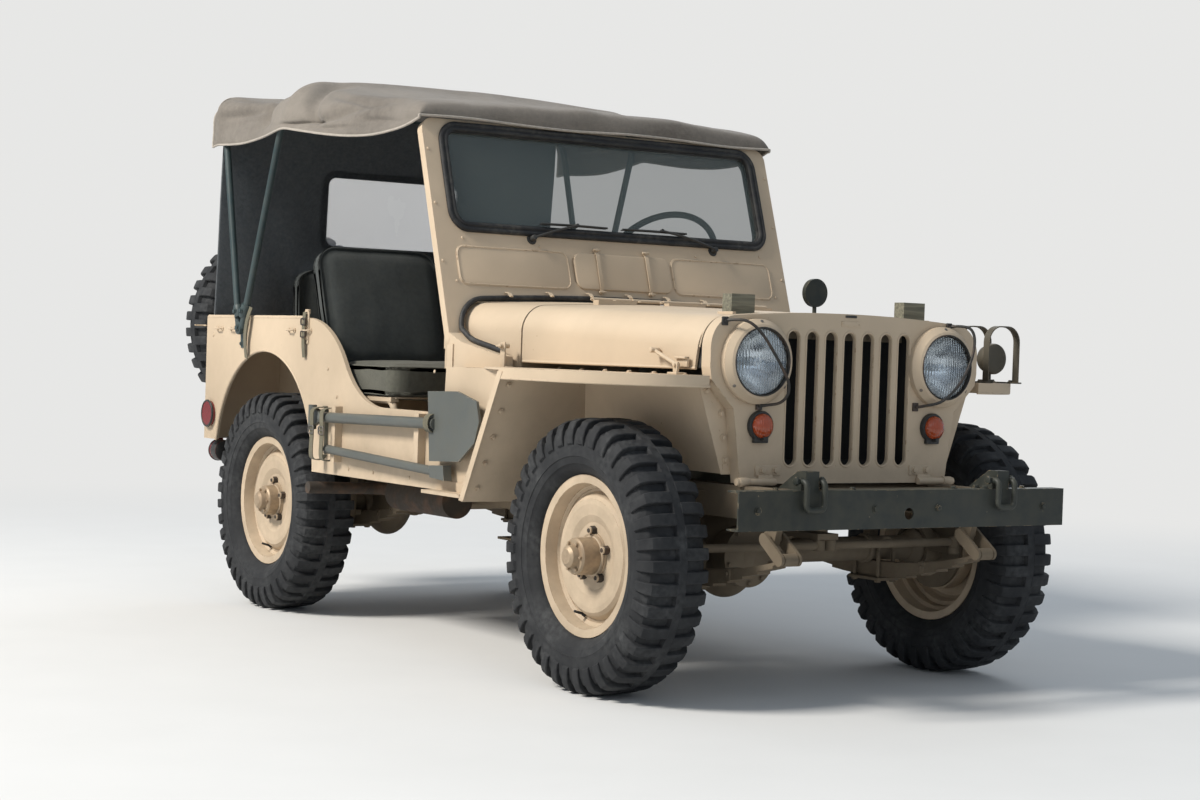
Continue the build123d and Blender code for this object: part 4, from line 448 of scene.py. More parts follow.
def add_band(bm, inner, outer, thick):
    """A closed flat band between two loops of as many points."""
    verts = [bm.verts.new(point) for point in inner]
    edges = [bm.edges.new(pair) for pair in zip(verts, verts[1:] + verts[:1])]
    made = bmesh.ops.extrude_edge_only(bm, edges=edges)["geom"]
    faces = list({face for vert in only_verts(made) for face in vert.link_faces})
    for vert, edge_point in zip(verts, outer):
        far = next(edge.other_vert(vert) for edge in vert.link_edges if edge.other_vert(vert) not in verts)
        far.co = edge_point
    bmesh.ops.solidify(bm, geom=faces, thickness=thick)


def flowing(points, steps):
    """Points on a smooth line through a few given ones."""
    points = [Vector(point) for point in points]
    last = len(points) - 1
    made = []
    for number in range(last):
        before, start, end, after = (points[max(0, min(last, number + step))] for step in (-1, 0, 1, 2))
        for step in range(steps):
            share = step / steps
            square = (2 * before - 5 * start + 4 * end - after) * share ** 2
            cube = (3 * start - before - 3 * end + after) * share ** 3
            made.append(0.5 * (2 * start + (end - before) * share + square + cube))
    return made + [points[-1]]


def ring_points(centre, radius, count, axis="Y", start=0.0):
    """Points round a circle about the X or the Y axis of its centre."""
    points = []
    for number in range(count):
        turn = start + 2 * math.pi * number / count
        wide, tall = radius * math.cos(turn), radius * math.sin(turn)
        points.append(Vector(centre) + Vector((0, wide, tall) if axis == "X" else (wide, 0, tall)))
    return points


def mirrored(side, points):
    """Points of the left side, or the same on the right."""
    return [Vector((side * x, y, z)) for x, y, z in points]


def facing_back(x, y, z):
    """A place whose own X axis points to the rear of the car."""
    return Matrix.Translation((x, y, z)) @ Matrix.Rotation(math.pi / 2, 4, "Z")


def round_rect(centre, half, corner, steps=6):
    """Points round a rectangle with round corners, in its own plane."""
    points = []
    for number, (sign_x, sign_z) in enumerate(((1, 1), (-1, 1), (-1, -1), (1, -1))):
        for step in range(steps + 1):
            angle = math.radians(number * 90 + step * 90 / steps)
            points.append((centre[0] + sign_x * (half[0] - corner) + corner * math.cos(angle),
                           centre[1] + sign_z * (half[1] - corner) + corner * math.sin(angle)))
    return points


def arch_line(half, low, shoulder, corner, top, y, crown=0.016, steps=8):
    """Points of an arched section like the bonnet's, from its right foot to its left."""
    edge = top - crown
    side = [Vector((half, y, low)), Vector((half, y, shoulder))]
    for step in range(1, steps + 1):
        turn = step / steps * math.pi / 2
        side.append(Vector((half - corner * (1 - math.cos(turn)), y,
                            shoulder + (edge - shoulder) * math.sin(turn))))
    for step in range(1, steps + 1):
        share = 1 - step / steps
        side.append(Vector(((half - corner) * share, y, edge + crown * (1 - share ** 2))))
    return [Vector((-point.x, point.y, point.z)) for point in side] + list(reversed(side[:-1]))


def finish_piece(name, bm, material, body=BODY, angle=38, recalculate=True):
    """Make a piece from a bmesh, with smooth faces and sharp edges, riding on a body."""
    if recalculate:
        bmesh.ops.recalc_face_normals(bm, faces=bm.faces)
    mesh = bpy.data.meshes.new(name)
    bm.to_mesh(mesh)
    bm.free()
    for face in mesh.polygons:
        face.use_smooth = True
    mesh.set_sharp_from_angle(angle=math.radians(angle))
    piece = bpy.data.objects.new(name, mesh)
    bpy.context.scene.collection.objects.link(piece)
    mesh.materials.append(bpy.data.materials["Army " + material])
    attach(piece, body)
    return piece


def on_screen(x, z, out=0.0):
    """A point at a height on the windscreen's front face, or out from it."""
    y = SCREEN_Y + (z - SCREEN_Z) * math.tan(RAKE)
    return Vector((x, y - out * math.cos(RAKE), z + out * math.sin(RAKE)))


SCREEN_OUT = on_screen(0, SCREEN_Z, 1) - on_screen(0, SCREEN_Z)


# Materials of the car

DUST = (0.47, 0.39, 0.28)
SOIL = (0.115, 0.088, 0.06)

NODE_LOOKS = {
    "sand": ("tub_sides", "tub_floor", "rear_panel", "cowl", "front_wings", "grille_panel", "bonnet",
             "windscreen_frame",
             "headlights", "seat_frames"),
    "wheel sand": ("wheel_front_left", "wheel_front_right", "wheel_rear_left", "wheel_rear_right",
                   "spare_wheel"),
    # The underbody parts take a darker sand: partly road dirt, partly painted shade that falls under the
    # car.
    "underbody": ("chassis_frame", "leaf_springs", "front_axle", "rear_axle", "knuckle_left",
                  "knuckle_right", "tie_rods",
                  "bell_crank", "drag_link", "pitman_arm", "steering_column", "gearbox", "propeller_shafts",
                  "shock_absorbers"),
    "green": ("front_bumper", "mirror"),
    "tool green": ("hand_tools",),
    "drab": ("guard_lamp",),
    "bow": ("canopy_bows",),
    "engine": ("engine",),
    "radiator": ("radiator",),
    "rust": ("exhaust",),
    "black plastic": ("steering_wheel", "turn_signals"),
    "rubber": ("windscreen_seal",),
    "glass": ("windscreen_glass",),
    "fluted glass": ("headlight_lenses",),
    "red": ("tail_lamps",),
    "wood": ("bonnet_blocks",),
}


def build_materials(colours):
    """Build every material from the panel's colours."""
    build_groups()
    body = tuple(colours.body)
    under = (0.2, 0.115, 0.062)
    painted("sand", body, under, DUST, roughness=0.56, wear=0.38, dents=1.0, dirt=0.35, low=0.25, high=0.95)
    painted("wheel sand", body, under, DUST, roughness=0.6, wear=0.52, dents=0.3, dirt=0.5, low=-2.0,
            high=3.5)
    # Underbody: the body's sand darkened, partly for road dirt and partly as painted shade under the car.
    painted("underbody", (0.175, 0.14, 0.098), (0.1, 0.07, 0.045), (0.25, 0.205, 0.145), roughness=0.78,
            wear=0.5,
            dents=0.2, dirt=0.75, low=0.1, high=0.95, specular=0.2)
    painted("drab", (0.075, 0.066, 0.048), (0.2, 0.15, 0.1), (0.18, 0.15, 0.1), roughness=0.55, wear=0.5,
            dirt=0.0)
    painted("green", tuple(colours.green), (0.33, 0.25, 0.15), (0.16, 0.145, 0.1), roughness=0.48, wear=0.42,
            dents=0.4,
            dirt=0.14, low=0.3, high=0.8)
    painted("tool green", (0.08, 0.088, 0.082), (0.3, 0.25, 0.18), (0.16, 0.15, 0.11), roughness=0.38,
            wear=0.42, dents=0.6,
            dirt=0.1, low=0.3, high=0.8)
    painted("bow", tuple(colours.bow), (0.13, 0.12, 0.1), (0.16, 0.15, 0.12), roughness=0.4, wear=0.42,
            dents=0.2, dirt=0.0)
    painted("engine", (0.1, 0.105, 0.085), (0.14, 0.09, 0.05), (0.22, 0.18, 0.13), roughness=0.65, wear=0.4,
            dirt=0.3)
    painted("radiator", (0.016, 0.017, 0.018), (0.05, 0.045, 0.04), (0.1, 0.085, 0.065), roughness=0.7,
            wear=0.3,
            dirt=0.3, specular=0.2)
    painted("black plastic", (0.02, 0.021, 0.022), (0.1, 0.09, 0.075), (0.12, 0.105, 0.08), roughness=0.42,
            wear=0.35,
            dirt=0.15)
    rubbery("rubber", tuple(colours.rubber), (0.2, 0.185, 0.16), 0.35, roughness=0.6)
    rubbery("tyre", tuple(colours.rubber), (0.125, 0.128, 0.128), 0.42, roughness=0.8)
    woven("canvas", tuple(colours.canvas), (0.34, 0.305, 0.262), 240.0, 0.42)
    woven("piping", (0.4, 0.36, 0.31), (0.52, 0.47, 0.41), 420.0, 0.3)
    # Rear curtain and window binding: the canvas cloth given a bluer, greyer colour and dust, which is
    # painted shade of the sky-lit shaded side.
    woven("curtain", (0.088, 0.1, 0.11), (0.19, 0.195, 0.2), 240.0, 0.15)
    woven("seat", tuple(colours.seat), (0.1, 0.1, 0.085), 300.0, 0.25, sheen=0.1)
    woven("cushion", (0.088, 0.088, 0.07), (0.22, 0.21, 0.17), 300.0, 0.3, sheen=0.1)
    woven("strap", (0.12, 0.11, 0.07), (0.24, 0.21, 0.15), 420.0, 0.25)
    metal("steel", (0.22, 0.205, 0.185), 0.45, rust=0.55)
    metal("bronze", (0.42, 0.32, 0.215), 0.5, rust=0.25, metallic=0.45)
    metal("rust", (0.055, 0.045, 0.037), 0.8, rust=0.5, metallic=0.3)
    metal("dark steel", (0.055, 0.054, 0.052), 0.5, rust=0.35, metallic=0.7)
    metal("bright", (0.72, 0.72, 0.7), 0.12, rust=0.0, metallic=1.0)
    lens("glass", (0.1, 0.125, 0.12), 0.03, 0.42, dusty=0.03)
    lens("fluted glass", (0.9, 0.95, 1.0), 0.02, 1.0, flutes=34.0, dusty=0.0, transmission=1.0)
    lens("amber", tuple(colours.amber), 0.16, 1.0, flutes=45.0, dusty=0.03)
    lens("red", (0.16, 0.006, 0.006), 0.1, 1.0, flutes=60.0, dusty=0.02)
    # Window film: a milky film whose near-white, bluish colour is also painted light, the brightness of the
    # pane lit from behind.
    lens("film", (0.9, 0.92, 0.96), 0.22, 0.34, dusty=0.0)
    wooden("wood")


class ARMYCAR_OT_paint(bpy.types.Operator):
    """Give each CAD part its material"""

    bl_idname = "armycar.paint"
    bl_label = "Paint the frame"

    def execute(self, context):
        build_materials(context.scene.army_colours)
        for look, names in NODE_LOOKS.items():
            for name in names:
                mesh = NODES[name].data
                mesh.materials.clear()
                mesh.materials.append(bpy.data.materials["Army " + look])
        return {"FINISHED"}


# Tyres

CARCASS = ((0.0545, 0.2065), (0.0545, 0.2222), (0.066, 0.226), (0.074, 0.231), (0.0838, 0.244),
           (0.0885, 0.252),
           (0.0905, 0.2535), (0.0925, 0.262), (0.0952, 0.272), (0.0972, 0.2735), (0.0962, 0.276),
           (0.0966, 0.285),
           (0.0966, 0.305), (0.0935, 0.33), (0.085, 0.349), (0.07, 0.359), (0.04, 0.363), (0.017, 0.364),
           (0.013, 0.3772), (0.0, 0.3775))
LUG = ((0.01, 0.378), (0.045, 0.3778), (0.072, 0.3755), (0.089, 0.367), (0.099, 0.348), (0.103, 0.324),
       (0.1022, 0.308), (0.095, 0.302), (0.091, 0.326), (0.08, 0.347), (0.065, 0.356), (0.04, 0.36),
       (0.01, 0.361))
LUG_SHARE = 0.53
# Sharper edges than this, farther out than this, are rounded, but not those that lie on the middle plane
LUG_SHARP = 0.9
LUG_FOOT = 0.3065
LUG_MIDDLE = 0.009


def build_tyre(name, place, body, node, lugs):
    """A cross-country tyre: carcass turned about its axle and two rows of staggered lugs."""
    bm = bmesh.new()
    ring = [*CARCASS, *[(-along, radius) for along, radius in reversed(CARCASS[:-1])], CARCASS[0]]
    add_lathe(bm, ring, steps=80)
    pitch = 2 * math.pi / lugs
    for side in (1, -1):
        for number in range(lugs):
            turn = pitch * (number + (0.5 if side < 0 else 0.0))
            verts = [bm.verts.new((side * along, 0.0, radius)) for along, radius in LUG]
            face = bm.faces.new(verts)
            start = Matrix.Rotation(turn - pitch * LUG_SHARE / 2, 3, "X")
            bmesh.ops.rotate(bm, verts=verts, cent=(0, 0, 0), matrix=start)
            before = set(bm.verts) - set(verts)
            bmesh.ops.spin(bm, geom=[face], cent=(0, 0, 0), axis=ACROSS, angle=pitch * LUG_SHARE, steps=2)
            sharp = [edge for edge in edges_of([vert for vert in bm.verts if vert not in before])
                     if len(edge.link_faces) == 2 and edge.calc_face_angle(0) > LUG_SHARP
                     and min(vert.co.yz.length for vert in edge.verts) > LUG_FOOT
                     and max(abs(vert.co.x) for vert in edge.verts) > LUG_MIDDLE]
            bevel_edges(bm, sharp, 0.0022, 1)
    bmesh.ops.transform(bm, matrix=place, verts=bm.verts)
    piece = finish_piece(name, bm, "tyre", body, angle=32)
    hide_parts(node)


class ARMYCAR_OT_tyres(bpy.types.Operator):
    """Build the four running tyres and the spare's, with their lugs"""

    bl_idname = "armycar.tyres"
    bl_label = "Tyres"

    def execute(self, context):
        lugs = context.scene.army_sizes.lugs
        turn = 0.4
        for end, y in AXLE_Y.items():
            for side, label in SIDES:
                turn += 0.7
                place = Matrix.Translation((side * HALF_TRACK, y, HUB_Z)) @ Matrix.Rotation(turn, 4, "X")
                build_tyre(f"lugged_tyre_{end}_{label}", place, f"wheel_{end}_{label}",
                           f"tyre_{end}_{label}", lugs)
        low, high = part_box("spare_tyre")
        build_tyre("lugged_tyre_spare", facing_back(*(Vector(low) + Vector(high)) / 2), BODY, "spare_tyre",
                   lugs)
        return {"FINISHED"}


# Soft top

ROOF = (
    # Y, half width, hem, shoulder, corner, top
    (-0.066, 0.687, 1.644, 1.658, 0.045, 1.718),
    (0.776, 0.75, 1.664, 1.692, 0.165, 1.8555),
    (1.322, 0.75, 1.64, 1.756, 0.068, 1.84),
    (1.368, 0.742, 1.634, 1.726, 0.068, 1.806),
)
FLAP_LOW_Z = 1.652
ROOF_CROWN = 0.018
# Shares of the half section, from its hem, at which its side and its corner end
SIDE_END = 0.22
CORNER_END = 0.48
CREASES = (
    # from arc length up from the hem and Y, to the same, depth and half width
    (0.46, 0.7, 0.12, 0.53, 0.056, 0.026),
    (0.1, 0.74, 0.3, 0.18, 0.032, 0.026),
    (0.34, 0.56, 0.3, 0.08, 0.032, 0.03),
    (0.2, 0.33, 0.12, 0.01, 0.016, 0.022),
    (0.05, 0.64, 0.1, 0.28, 0.012, 0.02),
    (0.4, 0.925, 0.1, 0.9, 0.042, 0.026),
    (0.16, 1.27, 0.26, 0.88, 0.034, 0.026),
    (0.1, 1.3, 0.16, 0.96, 0.012, 0.022),
    (0.34, 1.27, 0.4, 0.93, 0.016, 0.034),
    (0.6, 0.3, 0.76, 0.62, 0.01, 0.05),
    (0.56, 1.23, 0.74, 0.98, 0.012, 0.05),
)


def ease(share):
    """Smooth step from 0 to 1."""
    share = min(1.0, max(0.0, share))
    return share * share * (3 - 2 * share)


def roof_section(share, half, hem, shoulder, corner, top):
    """A point of the roof's cross-section, from the hem at 0 to the ridge at 1."""
    edge = top - ROOF_CROWN
    if share < SIDE_END:
        return half, hem + (shoulder - hem) * share / SIDE_END
    if share < CORNER_END:
        turn = (share - SIDE_END) / (CORNER_END - SIDE_END) * math.pi / 2
        return half - corner * (1 - math.cos(turn)), shoulder + (edge - shoulder) * math.sin(turn)
    along = (share - CORNER_END) / (1 - CORNER_END)
    return (half - corner) * (1 - along), edge + (top - edge) * (1 - (1 - along) ** 2)


def crease_depth(up, y):
    """How far the creases press the cloth in at an arc length above the hem."""
    depth = 0.0
    for from_up, from_y, to_up, to_y, deep, wide in CREASES:
        line = Vector((to_up - from_up, to_y - from_y))
        spot = Vector((up - from_up, y - from_y))
        along = max(0.0, min(1.0, spot.dot(line) / line.length_squared))
        away = (spot - line * along).length
        depth += deep * math.sin(math.pi * (0.08 + 0.84 * along)) * math.exp(-(away / wide) ** 2)
    return depth


def at_bow(y, number):
    """1 right over a bow, and almost nothing a few centimetres away."""
    return math.exp(-((y - ROOF[number][0]) / 0.035) ** 2)


def roof_point(across, along, sag):
    """A point of the canvas: across from -1 to 1, along from 0 at the windscreen to 1 at the rear hem."""
    y = ROOF[0][0] + along * (ROOF[-1][0] - ROOF[0][0])
    number = 0 if y < ROOF[1][0] else 1 if y < ROOF[2][0] else 2
    front, rear = ROOF[number], ROOF[number + 1]
    share = min(1.0, (y - front[0]) / (rear[0] - front[0]))
    values = [a + (b - a) * (share ** 0.8 if number == 0 else share) for a, b in zip(front[1:], rear[1:])]
    span = math.sin(math.pi * share) if number < 2 else 0.0
    values[0] -= (0.014, 0.01, 0.0)[number] * span
    values[1] -= (0.046 * math.sin(math.pi * share ** 0.7), 0.02 * span, 0.0)[number]
    side = 1 if across >= 0 else -1
    from_hem = 1 - abs(across)
    x, z = roof_section(from_hem, *values)
    over = ease((from_hem - 0.15) / 0.5)
    deep, power = ((0.75, 1.5), (1.7, 0.78), (0.0, 1.0))[number]
    z -= sag * deep * math.sin(math.pi * share ** power) * over
    z += 0.008 * at_bow(y, 1) * over
    x -= 0.012 * span * ease(from_hem / 0.3) * (1 - ease((from_hem - 0.3) / 0.2))
    x *= side
    turn = ease((from_hem - 0.12) / 0.34)
    pressed = crease_depth(from_hem * 0.87, y + 0.035 * side) * ease(from_hem / 0.08)
    from_bow = max(0.922 - y, y - 0.85)
    pressed *= 1 - math.exp(-(from_bow / 0.045) ** 2)
    ripple = noise.noise(Vector((x * 5.0, y * 3.2, 2.7 + side))) * 0.009
    ripple += noise.noise(Vector((x * 16.0, y * 6.0, 9.1))) * 0.003
    slack = 1.0 - 0.85 * at_bow(y, 1) - 0.85 * at_bow(y, 2)
    z += ripple * max(0.1, slack) * ease(from_hem / 0.15) - pressed * turn
    x += side * (noise.noise(Vector((y * 9.0, z * 14.0, side * 3.0))) * 0.006 - pressed * (1 - turn))
    flare = 0.01 * (1 - ease(from_hem / 0.12)) * span
    return Vector((x + side * flare, y, z))


def grid_sheet(rows, columns, place):
    """A sheet of quads whose points come from a function of row and column."""
    bm = bmesh.new()
    bmesh.ops.create_grid(bm, x_segments=columns, y_segments=rows, size=1.0)
    verts = sorted(bm.verts, key=lambda vert: (round(vert.co.y, 5), round(vert.co.x, 5)))
    for number, vert in enumerate(verts):
        row, column = divmod(number, columns + 1)
        vert.co = place(row, column)
    return bm


def thicken(piece, thick, offset=-1.0):
    """Give a sheet its thickness and a smooth surface."""
    solid = piece.modifiers.new("thickness", "SOLIDIFY")
    solid.thickness = thick
    solid.offset = offset
    smooth = piece.modifiers.new("smooth", "SUBSURF")
    smooth.levels = smooth.render_levels = 1


def shade_smooth(piece):
    """Leave no sharp edges on a soft piece."""
    for edge in piece.data.edges:
        edge.use_edge_sharp = False


class ARMYCAR_OT_canvas(bpy.types.Operator):
    """Build the canvas roof as one sheet over its bows, with its flap and rolled hems"""

    bl_idname = "armycar.canvas"
    bl_label = "Canvas roof"

    def execute(self, context):
        sizes = context.scene.army_sizes
        rows, columns, flap = 72, 72, 5

        def place(row, column):
            across = column / columns * 2 - 1
            if row >= flap:
                return roof_point(across, (row - flap) / (rows - flap), sizes.sag)
            point = roof_point(across, 0.0, sizes.sag)
            down = (flap - row) / flap
            wave = 0.003 * math.sin(point.x * 21.0) * down
            low = min(point.z, FLAP_LOW_Z + 0.004 * math.sin(point.x * 9.0))
            point.z += (low - point.z) * ease(down * 0.9 + 0.1)
            point.y -= 0.016 * math.sin(min(1.0, down * 1.6) * math.pi / 2) + wave
            return point

        bm = grid_sheet(rows, columns, place)
        hems = [[place(row, column) for row in range(rows + 1)] for column in (0, columns)]
        hems += [[place(row, column) for column in range(columns + 1)] for row in (0, rows)]
        roof = finish_piece("canvas_top", bm, "canvas", BODY)
        shade_smooth(roof)
        thicken(roof, sizes.cloth_thick)
        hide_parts("canvas_roof")
        bm = bmesh.new()
        for line in hems:
            add_tube(bm, [point + Vector((0, 0, 0.001)) for point in line[::2]], 0.0042, resolution=3)
        add_tube(bm, [point + Vector((0, -0.03, 0.03)) for point in hems[-1][6:-6:2]], 0.0022, resolution=3)
        hems = finish_piece("canvas_hems", bm, "piping", BODY, recalculate=False)
        return {"FINISHED"}


# Rear curtain

CURTAIN_HALF = 0.716
CURTAIN_TOP_Z = 1.8
CURTAIN_LOW_Z = 0.972
PANE = (0.29, 1.29, 1.57)


def curtain_point(x, z):
    """A point of the rear curtain: hung from the rear bow and drawn in to the tub."""
    fall = (CURTAIN_TOP_Z - z) / (CURTAIN_TOP_Z - CURTAIN_LOW_Z)
    y = 1.338 + 0.046 * fall
    y += 0.01 * math.sin(math.pi * fall) * math.cos(x * 2.1)
    folds = math.sin(x * 24.0 + 1.2 * math.sin(z * 5.0)) * 0.004 * ease(fall * 1.4)
    folds += noise.noise(Vector((x * 7.0, z * 3.0, 4.4))) * 0.012 * ease(fall * 3)
    if abs(x) < PANE[0] + 0.06 and PANE[1] - 0.06 < z < PANE[2] + 0.06:
        folds *= 0.25
    return Vector((x, y + folds, z))


def spaced(low, high, count):
    """Even steps from a value up to the one before another."""
    return [low + number * (high - low) / count for number in range(count)]


class ARMYCAR_OT_curtain(bpy.types.Operator):
    """Build the rear curtain with its clear window"""

    bl_idname = "armycar.curtain"
    bl_label = "Rear curtain"

    def execute(self, context):
        sizes = context.scene.army_sizes
        half, low, top = PANE
        lines_x = spaced(-CURTAIN_HALF, -half, 9) + spaced(-half, half, 20)
        lines_x += [*spaced(half, CURTAIN_HALF, 9), CURTAIN_HALF]
        lines_z = spaced(CURTAIN_LOW_Z, low, 12) + spaced(low, top, 10)
        lines_z += [*spaced(top, CURTAIN_TOP_Z, 7), CURTAIN_TOP_Z]

        def place(row, column):
            x, z = lines_x[column], lines_z[row]
            corner = 0.022
            if abs(abs(x) - half) < 1e-4 and min(abs(z - low), abs(z - top)) < 1e-4:
                x -= math.copysign(corner, x)
                z += corner if z < (low + top) / 2 else -corner
            return curtain_point(x, z)

        bm = grid_sheet(len(lines_z) - 1, len(lines_x) - 1, place)
        inside = [face for face in bm.faces if abs(face.calc_center_median().x) < half - 0.004
                  and low + 0.004 < face.calc_center_median().z < top - 0.004]
        bmesh.ops.delete(bm, geom=inside, context="FACES")
        # The curtain's cloth carries painted shade: a bluer grey than the canvas of the roof.
        curtain = finish_piece("canvas_curtain", bm, "curtain", BODY)
        shade_smooth(curtain)
        thicken(curtain, sizes.cloth_thick, offset=0.0)
        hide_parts("rear_curtain")
        bm = bmesh.new()
        middle = (low + top) / 2
        for out in (-0.0044, 0.0044):
            loops = []
            for grow in (-0.01, 0.012):
                outline = round_rect((0.0, middle), (half + grow, (top - low) / 2 + grow), 0.04 + grow * 0.8)
                loops.append([curtain_point(x, z) + Vector((0, out, 0)) for x, z in outline])
            add_band(bm, loops[0], loops[1], 0.0016)
            add_tube(bm, loops[0], 0.0018, cyclic=True, resolution=3)
        trim = finish_piece("window_binding", bm, "curtain", BODY, recalculate=False)
        pane_half = half + 0.006

        def pane_place(row, column):
            x = -pane_half + 2 * pane_half * column / 16
            z = low - 0.006 + (top - low + 0.012) * row / 10
            return curtain_point(x, z)

        bm = grid_sheet(10, 16, pane_place)
        # The pane's film colour carries painted light from behind it.
        pane = finish_piece("window_pane", bm, "film", BODY)
        shade_smooth(pane)
        thicken(pane, 0.001, offset=0.0)
        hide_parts("rear_window")
        return {"FINISHED"}


# Seats

PAD_EDGE = 0.018


def cushion_mesh(bm, centre, half, corner, crown, place):
    """A stuffed pad: a subdivided block with round corners in its plane, round edges and crowned faces."""
    bmesh.ops.create_cube(bm, size=2.0)
    bmesh.ops.subdivide_edges(bm, edges=bm.edges, cuts=14, use_grid_fill=True)
    wide, deep, tall = half
    for vert in bm.verts:
        x, y, z = vert.co.x * wide, vert.co.y * deep, vert.co.z * tall
        inner_x = max(-(wide - corner), min(wide - corner, x))
        inner_z = max(-(tall - corner), min(tall - corner, z))
        off = Vector((x - inner_x, z - inner_z))
        if off.length > 1e-9:
            off = off.normalized() * max(abs(off.x), abs(off.y))
        x, z = inner_x + off.x, inner_z + off.y
        rim = min(1.0, max(abs(vert.co.x), abs(vert.co.z)))
        inset = min(wide, tall) * (1 - rim)
        if abs(vert.co.y) > 0.999 and inset < PAD_EDGE:
            drop = PAD_EDGE - math.sqrt(max(0.0, PAD_EDGE ** 2 - (PAD_EDGE - inset) ** 2))
            y -= math.copysign(drop, vert.co.y)
        swell = crown * (1 - vert.co.x ** 4) * (1 - vert.co.z ** 4)
        y += swell * vert.co.y
        spot = Vector((x * 13 + centre[0] * 5, vert.co.y * 2, z * 9 + centre[2]))
        y += noise.noise(spot) * 0.0045 * vert.co.y
        vert.co = Vector((x, y, z))
    bmesh.ops.transform(bm, matrix=place, verts=bm.verts)


SEATS = (
    # name, centre, half sizes (wide, thick, tall), corner, tilt about X in degrees
    ("passenger_cushion", (-0.47, 0.226, 0.822), (0.222, 0.05, 0.2), 0.05, 90),
    ("passenger_backrest", (-0.47, 0.538, 1.052), (0.228, 0.027, 0.214), 0.07, -19.5),
    ("driver_cushion", (0.4, 0.226, 0.822), (0.222, 0.05, 0.2), 0.05, 90),
    ("driver_backrest", (0.4, 0.538, 1.052), (0.228, 0.027, 0.214), 0.07, -19.5),
    ("rear_cushion", (0.0, 1.136, 0.855), (0.416, 0.035, 0.168), 0.05, 90),
    ("rear_backrest", (0.0, 1.322, 1.048), (0.416, 0.026, 0.156), 0.06, -4.0),
)


class ARMYCAR_OT_seats(bpy.types.Operator):
    """Build the padded cushions and backrests with their piping"""

    bl_idname = "armycar.seats"
    bl_label = "Seats"

    def execute(self, context):
        puff = context.scene.army_sizes.seam_puff
        for name, centre, half, corner, tilt in SEATS:
            place = Matrix.Translation(centre) @ Matrix.Rotation(math.radians(tilt), 4, "X")
            bm = bmesh.new()
            cushion_mesh(bm, centre, half, corner, puff, place)
            cloth = "cushion" if name.endswith("cushion") else "seat"
            pad = finish_piece(name, bm, cloth, BODY)
            shade_smooth(pad)
            bm = bmesh.new()
            for face in (-1, 1):
                outline = round_rect((0.0, 0.0), (half[0] - 0.003, half[2] - 0.003), corner)
                depth = face * (half[1] - 0.006)
                add_tube(bm, [place @ Vector((x, depth, z)) for x, z in outline], 0.0034, cyclic=True,
                         resolution=2)
            finish_piece(name + "_piping", bm, cloth, BODY, recalculate=False)
            if name == "passenger_cushion":
                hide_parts("front_seats")
            if name == "rear_cushion":
                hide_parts("rear_seat")
        return {"FINISHED"}


# Wheels

HUB_REACH = {"front": 0.122, "rear": 0.104}


class ARMYCAR_OT_hubs(bpy.types.Operator):
    """Build the hub covers, wheel nuts and tyre valves"""

    bl_idname = "armycar.hubs"
    bl_label = "Hubs and nuts"

    def execute(self, context):
        for end, y in AXLE_Y.items():
            reach = HUB_REACH[end]
            outline = ((0.0405, 0.062), (0.0405, 0.0525), (reach - 0.029, 0.0506), (reach - 0.0236, 0.0466),
                       (reach - 0.0236, 0.0336), (reach - 0.0058, 0.0296), (reach + 0.0006, 0.0205),
                       (reach + 0.0006, 0.0))
            for side, label in SIDES:
                place = Matrix.Translation((side * HALF_TRACK, y, HUB_Z)) @ Matrix.Scale(side, 4, ACROSS)
                bm = bmesh.new()
                add_lathe(bm, outline, place, steps=48)
                for spot in ring_points((reach - 0.0236, 0, 0), 0.04, 6, "X"):
                    add_bolt(bm, place @ spot, (side, 0, 0), 0.005, 0.0048, washer=False)
                finish_piece(f"hub_cover_{end}_{label}", bm, "bronze", f"wheel_{end}_{label}",
                             angle=30)
                bm = bmesh.new()
                for spot in ring_points((0.03, 0, 0), 0.06985, 5, "X", math.pi / 2):
                    spot = place @ spot
                    add_bolt(bm, spot, (side, 0, 0), 0.0125, 0.014, washer=False)
                    add_bar(bm, spot, spot + Vector((side * 0.0225, 0, 0)), 0.0062, sides=14, bevel=0.001)
                finish_piece(f"wheel_nuts_{end}_{label}", bm, "rust", f"wheel_{end}_{label}", angle=30)
                bm = bmesh.new()
                foot = Vector((side * (HALF_TRACK + 0.02), y + 0.052, HUB_Z - 0.167))
                add_bar(bm, foot, foot + Vector((side * 0.034, 0.002, 0.01)), 0.0042, 0.0036, sides=12,
                        bevel=0.0008)
                add_bar(bm, foot, foot + Vector((side * 0.006, 0, 0.002)), 0.008, 0.006, sides=16)
                finish_piece(f"valve_{end}_{label}", bm, "rubber", f"wheel_{end}_{label}")
        return {"FINISHED"}


# Lamps

HEADLIGHT = (0.333, 0.924)
SIGNAL = (0.311, 0.75)
GUARD_RODS = {
    -1: ((-0.44, -1.362, 1.03), (-0.425, -1.392, 1.034), (-0.4, -1.42, 1.03), (-0.363, -1.428, 1.003),
         (-0.323, -1.43, 0.956), (-0.286, -1.43, 0.906), (-0.263, -1.428, 0.868), (-0.259, -1.42, 0.836),
         (-0.27, -1.402, 0.814), (-0.3, -1.38, 0.806), (-0.316, -1.369, 0.804)),
    1: ((0.366, -1.362, 1.04), (0.384, -1.392, 1.044), (0.404, -1.42, 1.036), (0.411, -1.43, 1.0),
        (0.398, -1.43, 0.942), (0.358, -1.428, 0.875), (0.304, -1.42, 0.828), (0.268, -1.39, 0.813),
        (0.248, -1.369, 0.808)),
}


